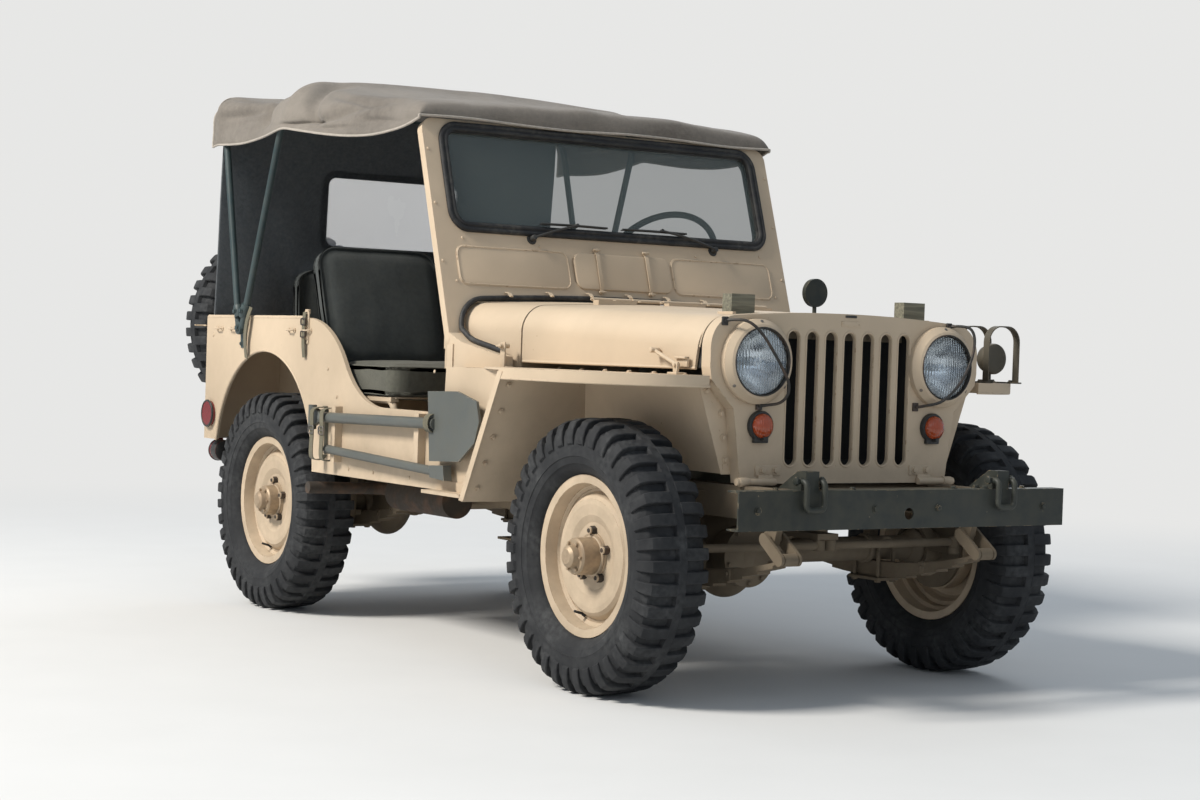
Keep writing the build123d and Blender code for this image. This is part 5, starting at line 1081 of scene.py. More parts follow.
class ARMYCAR_OT_lamps(bpy.types.Operator):
    """Build the headlights' reflectors, rings and screws, their guard rods and the front signals"""

    bl_idname = "armycar.lamps"
    bl_label = "Lamps"

    def execute(self, context):
        face = GRILLE_Y
        for side, label in SIDES:
            x, z = side * HEADLIGHT[0], HEADLIGHT[1]
            forward = facing_back(x, 0, z)
            bowl = [(face - 0.0235 + 0.072 * (1 - (radius / 0.088) ** 2), radius)
                    for radius in (0.088, 0.08, 0.07, 0.058, 0.045, 0.032, 0.02, 0.01, 0.0)]
            bm = bmesh.new()
            add_lathe(bm, bowl, forward, steps=64)
            finish_piece(f"reflector_{label}", bm, "bright", angle=60)
            bm = bmesh.new()
            add_bar(bm, (x, face + 0.046, z), (x, face + 0.004, z), 0.011, sides=24, bevel=0.003)
            add_bar(bm, (x, face + 0.006, z), (x, face - 0.006, z), 0.0155, 0.012, sides=24, bevel=0.003)
            finish_piece(f"bulb_cap_{label}", bm, "bright")
            bm = bmesh.new()
            ring = ((face - 0.029, 0.089), (face - 0.037, 0.0893), (face - 0.0395, 0.091),
                    (face - 0.0395, 0.093),
                    (face - 0.037, 0.0945), (face - 0.03, 0.0945), (face - 0.029, 0.089))
            add_lathe(bm, ring, forward, steps=64)
            finish_piece(f"lens_ring_{label}", bm, "dark steel", angle=50)
            bm = bmesh.new()
            for degrees in (90, 218, 322):
                turn = math.radians(degrees)
                out = Vector((math.cos(turn) * 0.6, -0.8, math.sin(turn) * 0.6))
                spot = Vector((x + 0.1085 * math.cos(turn), face - 0.0255, z + 0.1085 * math.sin(turn)))
                add_bar(bm, spot - out * 0.002, spot + out * 0.0022, 0.0052, 0.0044, sides=16, bevel=0.0008)
            finish_piece(f"bezel_screws_{label}", bm, "steel", angle=30)
            bm = bmesh.new()
            points = flowing(GUARD_RODS[side], 5)
            add_tube(bm, points, 0.0042, resolution=2)
            for spot in (points[0], points[-1]):
                add_box(bm, (spot.x - 0.01, face - 0.006, spot.z - 0.012),
                        (spot.x + 0.01, face + 0.001, spot.z + 0.012), 0.002)
                add_bolt(bm, (spot.x, face - 0.006, spot.z), FORWARD, 0.0045, 0.003, washer=False)
            finish_piece(f"lamp_guard_rod_{label}", bm, "dark steel", recalculate=False)
            x, z = side * SIGNAL[0], SIGNAL[1]
            forward = facing_back(x, 0, z)
            bm = bmesh.new()
            dome = ((face - 0.009, 0.0335), (face - 0.018, 0.0335), (face - 0.0255, 0.03),
                    (face - 0.0305, 0.02),
                    (face - 0.0325, 0.01), (face - 0.033, 0.0))
            add_lathe(bm, dome, forward, steps=40)
            finish_piece(f"signal_lens_{label}", bm, "amber", angle=50)
            bm = bmesh.new()
            rim = ((face - 0.0005, 0.0335), (face - 0.0005, 0.041), (face - 0.011, 0.041),
                   (face - 0.015, 0.0385),
                   (face - 0.015, 0.0335), (face - 0.0005, 0.0335))
            add_lathe(bm, rim, forward, steps=40)
            add_box(bm, (x - 0.024, face - 0.014, z - 0.047), (x + 0.024, face - 0.0005, z - 0.028), 0.003)
            add_bar(bm, (x, face - 0.03, z - 0.034), (x, face - 0.012, z - 0.036), 0.0048, 0.0056, sides=14,
                    bevel=0.001)
            finish_piece(f"signal_rim_{label}", bm, "black plastic", angle=40)
        return {"FINISHED"}


# Grille and bumper

FINS = 92


def slot_line(x, y, grow):
    """Points round a grille slot."""
    outline = round_rect((x, 0.8265), (0.0215 + grow, 0.1865 + grow), 0.02149 + grow, steps=8)
    return [Vector((px, y, pz)) for px, pz in outline]


class ARMYCAR_OT_grille(bpy.types.Operator):
    """Build the turned slot edges, plate, hinges, baffles and the bumper's bolts"""

    bl_idname = "armycar.grille"
    bl_label = "Grille and bumper"

    def execute(self, context):
        bm = bmesh.new()
        for number in range(7):
            x = (number - 3) * 0.0665
            add_tube(bm, slot_line(x, GRILLE_Y + 0.0004, 0.0022), 0.003, cyclic=True, resolution=2)
            verts = [bm.verts.new(point) for point in slot_line(x, GRILLE_Y + 0.001, -0.0006)]
            edges = [bm.edges.new((a, b)) for a, b in zip(verts, verts[1:] + verts[:1])]
            moved = only_verts(bmesh.ops.extrude_edge_only(bm, edges=edges)["geom"])
            bmesh.ops.translate(bm, verts=moved, vec=(0, 0.011, 0))
            faces = list({face for vert in moved for face in vert.link_faces})
            bmesh.ops.solidify(bm, geom=faces, thickness=0.0014)
        finish_piece("slot_edges", bm, "sand", angle=40)
        bm = bmesh.new()
        add_box(bm, (-0.034, GRILLE_Y - 0.0022, 1.0285), (0.034, GRILLE_Y + 0.001, 1.0435), 0.0008)
        add_box(bm, (-0.026, GRILLE_Y - 0.003, 1.0315), (0.026, GRILLE_Y - 0.001, 1.0405), 0.0006)
        for side in (-1, 1):
            add_bar(bm, (side * 0.03, GRILLE_Y - 0.002, 1.036), (side * 0.03, GRILLE_Y - 0.004, 1.036),
                    0.0022, sides=12)
            add_box(bm, (side * 0.233, GRILLE_Y - 0.004, 0.614), (side * 0.321, GRILLE_Y + 0.001, 0.6425),
                    0.0018)
            for x in (0.252, 0.297):
                add_bolt(bm, (side * x, GRILLE_Y - 0.004, 0.6285), FORWARD, 0.0085, 0.0055)
            add_box(bm, (side * 0.262, GRILLE_Y - 0.0075, 0.59), (side * 0.312, GRILLE_Y + 0.001, 0.616),
                    0.0022)
            for start, end, radius in ((0.258, 0.392, 0.01), (0.352, 0.384, 0.0128)):
                ends = [(side * x, GRILLE_Y - 0.012, 0.5975) for x in (start, end)]
                add_bar(bm, *ends, radius, bevel=0.0015)
        finish_piece("grille_fittings", bm, "sand", angle=30)
        bm = bmesh.new()
        for side in (-1, 1):
            outline = [(side * x, z) for x, z in ((0.47, 0.88), (0.47, 0.868), (0.393, 0.79), (0.385, 0.752),
                                                  (0.366, 0.615), (0.404, 0.615), (0.4955, 0.88))]
            upright = Matrix.Translation((0, -1.3245, 0)) @ Matrix.Rotation(math.pi / 2, 4, "X")
            add_plate(bm, outline, 0.0016, upright, 0.0003)
            line = [(side * x, -1.3262, z) for x, z in ((0.489, 0.868), (0.4135, 0.79), (0.4075, 0.752),
                                                        (0.388, 0.618))]
            add_ribbon(bm, line, 0.018, 0.0016, ACROSS)
            for x, z in ((0.462, 0.84), (0.411, 0.78), (0.402, 0.715), (0.393, 0.655)):
                add_bolt(bm, (side * x, -1.3275, z), FORWARD, 0.007, 0.005)
        finish_piece("wing_flanges", bm, "sand", angle=30)
        bm = bmesh.new()
        for side in (-1, 1):
            add_box(bm, (side * 0.229, GRILLE_Y + 0.012, 0.64), (side * 0.231, -1.25, 1.022), 0.0004)
        for z in (1.015, 0.628):
            add_box(bm, (-0.231, GRILLE_Y + 0.012, z), (0.231, -1.25, z + 0.002), 0.0004)
        finish_piece("air_baffles", bm, "radiator", angle=30)
        bm = bmesh.new()
        add_box(bm, (-0.2285, -1.323, 0.99), (0.2285, -1.3205, 1.014), 0.0008)
        for number in range(9):
            add_bolt(bm, (-0.2 + number * 0.05, -1.323, 0.996), FORWARD, 0.0035, 0.002, washer=False)
        finish_piece("radiator_band", bm, "underbody", angle=30)
        bm = bmesh.new()
        for number in range(FINS):
            z = 0.66 + number * 0.328 / (FINS - 1)
            add_box(bm, (-0.219, -1.3226, z - 0.0004), (0.219, -1.3195, z + 0.0004), 0.0)
        finish_piece("radiator_fins", bm, "radiator", angle=30)
        bm = bmesh.new()
        line = arch_line(0.4715, 0.902, 0.958, 0.088, 1.0525, -1.309)
        add_ribbon(bm, line, 0.028, 0.0022)
        finish_piece("bonnet_rest", bm, "rubber", angle=60)
        bm = bmesh.new()
        add_box(bm, (-0.02, GRILLE_Y - 0.003, 1.0535), (0.02, GRILLE_Y + 0.003, 1.0605), 0.0015)
        finish_piece("grille_catch", bm, "black plastic", angle=30)
        bm = bmesh.new()
        for x, z in ((-0.121, 0.542), (0.103, 0.542), (-0.515, 0.541), (0.498, 0.543)):
            add_bolt(bm, (x, BUMPER_Y, z), FORWARD, 0.0075, 0.005)
        for side in (-1, 1):
            for out in (-1, 1):
                add_bolt(bm, (side * 0.34 + out * 0.038, BUMPER_Y + 0.012, 0.6165), (out, 0, 0), 0.012,
                         0.008,
                         washer=False)
            for y in (0.018, 0.054):
                add_bolt(bm, (side * 0.29, BUMPER_Y + y, 0.5925), ABOVE, 0.008, 0.006)
        for x in (-0.44, -0.18, 0.18, 0.44):
            add_bolt(bm, (x, BUMPER_Y + 0.026, 0.5925), ABOVE, 0.007, 0.005)
        finish_piece("bumper_bolts", bm, "green", angle=30)
        return {"FINISHED"}


# Driving lamp


class ARMYCAR_OT_guard_lamp(bpy.types.Operator):
    """Build the driving lamp and the two flat hoops that guard it"""

    bl_idname = "armycar.guard_lamp"
    bl_label = "Driving lamp and guard"

    def execute(self, context):
        x, y, z = 0.62, GRILLE_Y + 0.1, 0.882
        bm = bmesh.new()
        for shift in (-0.058, 0.062):
            hoop = arch_line(0.062, z + 0.001, z + 0.122, 0.048, z + 0.17, y + shift, 0.0)
            add_ribbon(bm, [point + Vector((x, 0, 0)) for point in hoop], 0.024, 0.0035)
        for side in (-1, 1):
            add_box(bm, (x + side * 0.062 - 0.011, y - 0.072, z),
                    (x + side * 0.062 + 0.011, y + 0.076, z + 0.0045), 0.001)
            for shift in (-0.035, 0.04):
                add_bolt(bm, (x + side * 0.062, y + shift, z + 0.0045), ABOVE, 0.0055, 0.004)
        guard = finish_piece("lamp_guard", bm, "drab", angle=35)
        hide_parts("guard_lamp")
        bm = bmesh.new()
        outline = ((-0.038, 0.0), (-0.038, 0.033), (-0.033, 0.044), (-0.028, 0.046), (-0.018, 0.046),
                   (0.006, 0.038),
                   (0.026, 0.02), (0.03, 0.0))
        add_lathe(bm, outline, facing_back(x, y, z + 0.072))
        add_bar(bm, (x, y, z), (x, y, z + 0.04), 0.012, bevel=0.0015)
        add_bar(bm, (x, y, z), (x, y, z + 0.01), 0.02, bevel=0.002)
        finish_piece("driving_lamp", bm, "drab", angle=35)
        return {"FINISHED"}


# Wings and bonnet


class ARMYCAR_OT_wings(bpy.types.Operator):
    """Build the wings' rolled edges, ribs and bolts, and the bonnet's catches and fittings"""

    bl_idname = "armycar.wings"
    bl_label = "Wings and bonnet"

    def execute(self, context):
        for side, label in SIDES:
            bm = bmesh.new()
            corner = [(0.495 + 0.285 * math.cos(math.radians(a)), -1.087 - 0.285 * math.sin(math.radians(a)))
                      for a in range(0, 91, 9)]
            edge = [(0.78, -0.776), (0.78, -0.93)] + corner + [(0.487, -1.372)]
            add_tube(bm, [Vector((side * (x - 0.0028), y + 0.0012, 0.8524)) for x, y in edge], 0.0036,
                     resolution=2)
            low = Vector((side * 0.777, -0.577, 0.491))
            add_ribbon(bm, ((side * 0.7785, -0.7745, 0.872), (side * 0.7785, -0.577, 0.491)), 0.026, 0.003)
            add_tube(bm, [low + Vector((side * x, 0.002, 0)) for x in (0, -0.16, -0.32)], 0.004)
            for y in (-1.28, -1.16, -1.04, -0.92, -0.8, -0.68):
                add_bolt(bm, (side * (0.505 if y < -1.2 else 0.52), y, 0.882), ABOVE, 0.0065, 0.0035)
            for step in range(5):
                share = (step + 0.5) / 5
                add_bolt(bm, (side * 0.742, -0.783 + 0.198 * share, 0.87 - 0.381 * share), (0, -0.89, -0.46),
                         0.006, 0.004)
            finish_piece(f"wing_edges_{label}", bm, "sand", angle=35)
            bm = bmesh.new()
            foot = Vector((side * 0.52, -1.262, 0.882))
            add_box(bm, foot + Vector((-0.014, -0.022, 0)), foot + Vector((0.014, 0.022, 0.006)), 0.0015)
            add_box(bm, foot + Vector((-0.004, -0.01, 0.004)), foot + Vector((0.004, 0.01, 0.034)), 0.0015)
            add_bar(bm, foot + Vector((-0.01, 0, 0.026)), foot + Vector((0.01, 0, 0.026)), 0.0055, sides=16,
                    bevel=0.001)
            pull = ((0, -0.004, 0.026), (0, 0.04, 0.04), (0, 0.1, 0.062))
            add_tube(bm, [foot + Vector(point) for point in pull], 0.0055, resolution=6)
            add_bar(bm, foot + Vector((-0.015, 0.104, 0.064)), foot + Vector((0.015, 0.104, 0.064)), 0.0075,
                    sides=18, bevel=0.002)
            for x, y in ((-0.009, -0.016), (0.009, 0.016)):
                add_bolt(bm, foot + Vector((x, y, 0.006)), ABOVE, 0.0032, 0.002, washer=False)
            finish_piece(f"bonnet_catch_{label}", bm, "sand", angle=35)
            bm = bmesh.new()
            add_box(bm, (side * 0.4965 - 0.004, -1.285, 0.903), (side * 0.4965 + 0.004, -1.235, 0.93),
                    0.0015)
            add_box(bm, (side * 0.501 - 0.008, -1.285, 0.925), (side * 0.501 + 0.008, -1.235, 0.931), 0.0015)
            finish_piece(f"catch_plate_{label}", bm, "sand", "bonnet", angle=35)
        bm = bmesh.new()
        for side in (-1, 1):
            add_tube(bm, ((side * 0.4815, -1.3, 0.9005), (side * 0.5745, -0.56, 0.9005)), 0.0042, order=2)
            for x in (0.09, 0.17, 0.262):
                add_bolt(bm, (side * x, -0.572, 1.0905), ABOVE, 0.005, 0.0022, washer=False)
        front = arch_line(0.4812, 0.905, 0.958, 0.088, 1.0628, -1.315)
        add_tube(bm, front[1:-1:2], 0.0026, resolution=3)
        for side in (-1, 1):
            for x in (0.272, 0.352):
                add_box(bm, (side * x - 0.006, -1.292, 1.03), (side * x + 0.006, -1.222, 1.0585), 0.001)
        finish_piece("bonnet_trim", bm, "sand", "bonnet", angle=40)
        return {"FINISHED"}


# Windscreen

LID_Z = 1.19


def screen_line(x, z, half_x, half_z, corner, out):
    """Points round a rectangle with round corners that lies on the windscreen's face."""
    return [on_screen(px, pz, out) for px, pz in round_rect((x, z), (half_x, half_z), corner)]


class ARMYCAR_OT_windscreen(bpy.types.Operator):
    """Build the glass seal's lip, vent cover, wipers, screws and the cowl's rubber strip"""

    bl_idname = "armycar.windscreen"
    bl_label = "Windscreen"

    def execute(self, context):
        bm = bmesh.new()
        low, high = 1.309, 1.626
        middle, tall = (low + high) / 2, (high - low) / 2
        for grow, radius, out in ((0.009, 0.0085, 0.0035), (-0.0065, 0.0078, 0.0045), (0.001, 0.006, 0.003)):
            for place, share in ((out, 1.0), (-0.0325, 0.7)):
                outline = screen_line(0, middle, 0.604 + grow, tall + grow, 0.052 + grow, place)
                add_tube(bm, outline, radius * share, cyclic=True, resolution=3)
        finish_piece("glass_seal_lip", bm, "rubber", recalculate=False)
        bm = bmesh.new()
        lids = ((-0.405, 0.206, 0.062, 0.0022), (0.405, 0.206, 0.062, 0.0022), (0.005, 0.186, 0.058, 0.007))
        for x, half, tall, out in lids:
            verts = [bm.verts.new(point) for point in screen_line(x, LID_Z, half, tall, 0.028, 0.0)]
            moved = only_verts(bmesh.ops.extrude_face_region(bm, geom=[bm.faces.new(verts)])["geom"])
            bmesh.ops.translate(bm, verts=moved, vec=SCREEN_OUT * out)
            rim = [edge for edge in edges_of(moved) if all(vert in moved for vert in edge.verts)]
            bevel_edges(bm, rim, out * 0.5, 3)
            if out < 0.005:
                lip = screen_line(x, LID_Z, half - 0.004, tall - 0.004, 0.026, out - 0.0004)
                add_tube(bm, lip, 0.0024, cyclic=True, resolution=3)
        for x in (-0.092, 0.1):
            bridge = ((1.128, 0.004), (1.138, 0.0105), (1.242, 0.0105), (1.254, 0.004))
            add_ribbon(bm, [on_screen(x, z, out) for z, out in bridge], 0.013, 0.003, ACROSS)
            for z in (1.124, 1.259):
                add_bar(bm, on_screen(x, z, 0.0), on_screen(x, z, 0.014), 0.0065, 0.005, sides=16,
                        bevel=0.001)
                add_bar(bm, on_screen(x - 0.013, z, 0.011), on_screen(x + 0.013, z, 0.011), 0.0036, sides=12,
                        bevel=0.0008)
        for x, z in ((-0.66, 1.2), (-0.66, 1.38), (-0.66, 1.55), (0.66, 1.2), (0.66, 1.38), (0.66, 1.55),
                     (-0.58, 1.275),
                     (-0.3, 1.262), (0.31, 1.262), (0.58, 1.275), (-0.62, 1.14), (0.62, 1.14)):
            add_bar(bm, on_screen(x, z, -0.001), on_screen(x, z, 0.0028), 0.0052, 0.004, sides=14,
                    bevel=0.0006)
        finish_piece("windscreen_fittings", bm, "sand", angle=35)
        bm = bmesh.new()
        wipers = (((-0.327, 1.284), (-0.159, 1.331), -0.292, -0.04),
                  ((0.384, 1.284), (0.175, 1.334), 0.02, 0.276))
        for pivot, elbow, low_x, high_x in wipers:
            add_bar(bm, on_screen(*pivot, 0.0), on_screen(*pivot, 0.024), 0.0105, 0.0085, sides=20,
                    bevel=0.002)
            add_bar(bm, on_screen(*pivot, 0.0), on_screen(*pivot, 0.003), 0.018, 0.016, sides=24,
                    bevel=0.001)
            halfway = ((pivot[0] + elbow[0]) / 2, (pivot[1] + elbow[1]) / 2)
            arm = [on_screen(*pivot, 0.02), on_screen(*halfway, 0.03), on_screen(*elbow, 0.02)]
            add_tube(bm, flowing(arm, 6), 0.004, resolution=2)
            along = (high_x - low_x) / 8
            line = [(low_x + along * step, 1.331 + 0.0015 * math.sin(math.pi * step / 8))
                    for step in range(9)]
            add_tube(bm, [on_screen(x, z, 0.015) for x, z in line], 0.0034, resolution=2)
            add_ribbon(bm, [on_screen(x, z, 0.0085) for x, z in line], 0.013, 0.0018, SCREEN_OUT)
            add_bar(bm, on_screen(*elbow, 0.012), on_screen(*elbow, 0.025), 0.006, sides=14, bevel=0.001)
        arms = finish_piece("wiper_set", bm, "black plastic", angle=40)
        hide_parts("wipers")
        bm = bmesh.new()
        section = arch_line(0.63, 0.985, 0.992, 0.092, 1.1035, 0.0, steps=10)
        line = [on_screen(point.x, point.z) + Vector((0, -0.006, 0.001)) for point in section]
        tail = ((0.634, -0.3, 0.99), (0.63, -0.345, 0.9605), (0.62, -0.42, 0.945), (0.61, -0.5, 0.929))
        line = mirrored(-1, reversed(tail)) + line[1:-1] + mirrored(1, tail)
        add_tube(bm, line, 0.0085, resolution=3)
        finish_piece("cowl_strip", bm, "rubber", recalculate=False)
        bm = bmesh.new()
        for x in (-0.45, -0.3, -0.15, 0.0, 0.15, 0.3, 0.45):
            z = 1.0875 + 0.016 * (1 - (x / 0.54) ** 2)
            clip = ((-0.278, 0.004), (-0.262, 0.0165), (-0.25, 0.0165), (-0.246, 0.019))
            add_ribbon(bm, [(x, y, z + up) for y, up in clip], 0.014, 0.0014, ACROSS)
            add_bolt(bm, (x, -0.276, z + 0.006), (0, -0.5, 0.86), 0.0042, 0.0024, washer=False)
        for side in (-1, 1):
            add_box(bm, (side * 0.6, -0.556, 0.8762), (side * 0.63, -0.518, 0.884), 0.002)
            add_box(bm, (side * 0.627, -0.55, 0.88), (side * 0.633, -0.524, 0.956), 0.002)
            add_bar(bm, (side * 0.61, -0.537, 0.944), (side * 0.645, -0.537, 0.944), 0.007, sides=16,
                    bevel=0.0015)
            add_box(bm, (side * 0.645 - 0.003, -0.551, 0.941), (side * 0.645 + 0.003, -0.523, 0.947), 0.0015)
        finish_piece("cowl_fittings", bm, "sand", angle=35)
        return {"FINISHED"}


# Body sides

# Sections of the straps round the tools, as (X, Z)
WIDE_LOOP = ((-0.727, 0.57), (-0.727, 0.71), (-0.74, 0.722), (-0.77, 0.718), (-0.779, 0.7),
             (-0.7765, 0.641), (-0.778, 0.572), (-0.768, 0.554), (-0.74, 0.554), (-0.7285, 0.568))
NARROW_LOOP = ((-0.727, 0.69), (-0.727, 0.726), (-0.74, 0.734), (-0.77, 0.728), (-0.779, 0.706),
               (-0.77, 0.684), (-0.74, 0.678), (-0.7285, 0.688))


def staple(bm, spot, shape):
    """A bent wire loop whose points are offsets from a spot."""
    add_tube(bm, flowing([spot + Vector(point) for point in shape], 4), 0.0028)


def buckle_line(centre, half, corner=0.004):
    """Points round a buckle's wire frame, in a plane along the car."""
    return [Vector(centre) + Vector((0, y, z)) for y, z in round_rect((0, 0), half, corner, 3)]


class ARMYCAR_OT_sides(bpy.types.Operator):
    """Build the bow clamps, hooks, tool straps, brackets and step treads on the body's sides"""

    bl_idname = "armycar.sides"
    bl_label = "Body sides"

    def execute(self, context):
        for side, label in SIDES:
            bm = bmesh.new()
            wall = side * TUB_HALF
            out = Vector((side, 0, 0))
            add_tube(bm, [(wall - side * 0.006, y, 1.0175) for y in (0.62, 1.0, 1.415)], 0.0075)
            for y in (0.575, 0.7, 1.18, 1.3):
                spot = Vector((wall, y, 0.975))
                for shift in (-0.022, 0.022):
                    foot = spot + Vector((0, shift, 0))
                    add_bar(bm, foot, foot + out * 0.004, 0.0075, sides=14)
                staple(bm, spot, ((0, -0.022, 0), (side * 0.014, -0.017, 0), (side * 0.014, 0.017, 0),
                                  (0, 0.022, 0)))
            for y, z in ((-0.3, 0.86), (-0.3, 0.76), (0.08, 0.53), (0.25, 0.53), (0.46, 0.6), (1.36, 0.62),
                         (1.36, 0.95),
                         (-0.42, 0.54), (-0.16, 0.53), (0.42, 0.85), (0.35, 0.76)):
                add_bar(bm, (wall, y, z), (wall + side * 0.003, y, z), 0.0058, 0.0046, sides=14,
                        bevel=0.0007)
            low, high = sorted((wall - side * 0.001, wall + side * 0.0045))
            add_box(bm, (low, 0.567, 0.93), (high, 0.603, 1.04), 0.003)
            add_box(bm, (low, 0.572, 1.03), (high + 0.006, 0.598, 1.046), 0.003)
            for z in (0.948, 0.985):
                add_bolt(bm, (wall + side * 0.0045, 0.585, z), out, 0.006, 0.004)
            turns = [math.radians(degrees) for degrees in range(10, 173, 6)]
            arch = [(wall - side * 0.004, 0.923 + 0.404 * math.cos(turn), 0.499 + 0.404 * math.sin(turn))
                    for turn in turns]
            add_tube(bm, arch, 0.0055, resolution=2)
            finish_piece(f"side_fittings_{label}", bm, "sand", angle=35)
            bm = bmesh.new()
            pivot = Vector((side * 0.74, 1.091, 0.978))
            for y, z in ((1.045, 1.066), (1.121, 1.062)):
                line = Vector((side * 0.7395, y, z)) - pivot
                add_bar(bm, pivot + line * 0.45, pivot + line * 0.95, 0.017, sides=24, bevel=0.002)
                add_bolt(bm, pivot + line * 0.7 + out * 0.015, out, 0.008, 0.005)
            add_bar(bm, pivot - out * 0.004, pivot + out * 0.012, 0.023, sides=24, bevel=0.002)
            add_bolt(bm, pivot + out * 0.012, out, 0.01, 0.006)
            for y, z in ((-0.016, -0.055), (0.016, -0.055), (-0.024, 0.014), (0.024, 0.014)):
                add_bolt(bm, (side * 0.728, 1.091 + y, 0.978 + z), out, 0.006, 0.004)
            finish_piece(f"bow_clamps_{label}", bm, "bow", angle=30)
            bm = bmesh.new()
            strap = ((0.733, 1.02, 1.052), (0.742, 1.034, 1.0), (0.74, 1.05, 0.94), (0.734, 1.046, 0.872))
            add_ribbon(bm, flowing(mirrored(side, strap), 5), 0.024, 0.0022, (0, 1, 0.2))
            strap = ((0.7345, 0.585, 1.036), (0.737, 0.586, 0.99), (0.735, 0.59, 0.93),
                     (0.731, 0.588, 0.884))
            add_ribbon(bm, flowing(mirrored(side, strap), 5), 0.022, 0.0022)
            finish_piece(f"side_straps_{label}", bm, "strap", angle=60)
            bm = bmesh.new()
            for z, thin in ((1.004, 0.0026), (0.962, 0.0022)):
                add_tube(bm, buckle_line((side * 0.74, 0.587, z), (0.016, 0.01)), thin, cyclic=True,
                         resolution=2)
            finish_piece(f"strap_buckles_{label}", bm, "dark steel", recalculate=False)
        bm = bmesh.new()
        for y in (0.345, 0.418):
            loop = [(x, y, z) for x, z in WIDE_LOOP]
            add_ribbon(bm, flowing(loop, 4), 0.026, 0.0024)
        loop = [(x, -0.35, z) for x, z in NARROW_LOOP]
        add_ribbon(bm, flowing(loop, 4), 0.03, 0.0024)
        finish_piece("tool_straps", bm, "strap", angle=60)
        bm = bmesh.new()
        for y in (0.345, 0.418):
            add_tube(bm, buckle_line((-0.7815, y, 0.65), (0.018, 0.012)), 0.0024, cyclic=True, resolution=2)
            add_bar(bm, (-0.781, y - 0.017, 0.65), (-0.781, y + 0.017, 0.65), 0.002, sides=10)
        finish_piece("tool_buckles", bm, "steel", recalculate=False)
        bm = bmesh.new()
        for number in range(9):
            add_box(bm, (-0.77, -0.56 + number * 0.026, 0.4985), (-0.73, -0.55 + number * 0.026, 0.501),
                    0.0008)
        finish_piece("step_treads", bm, "rubber", angle=35)
        return {"FINISHED"}


# Cabin


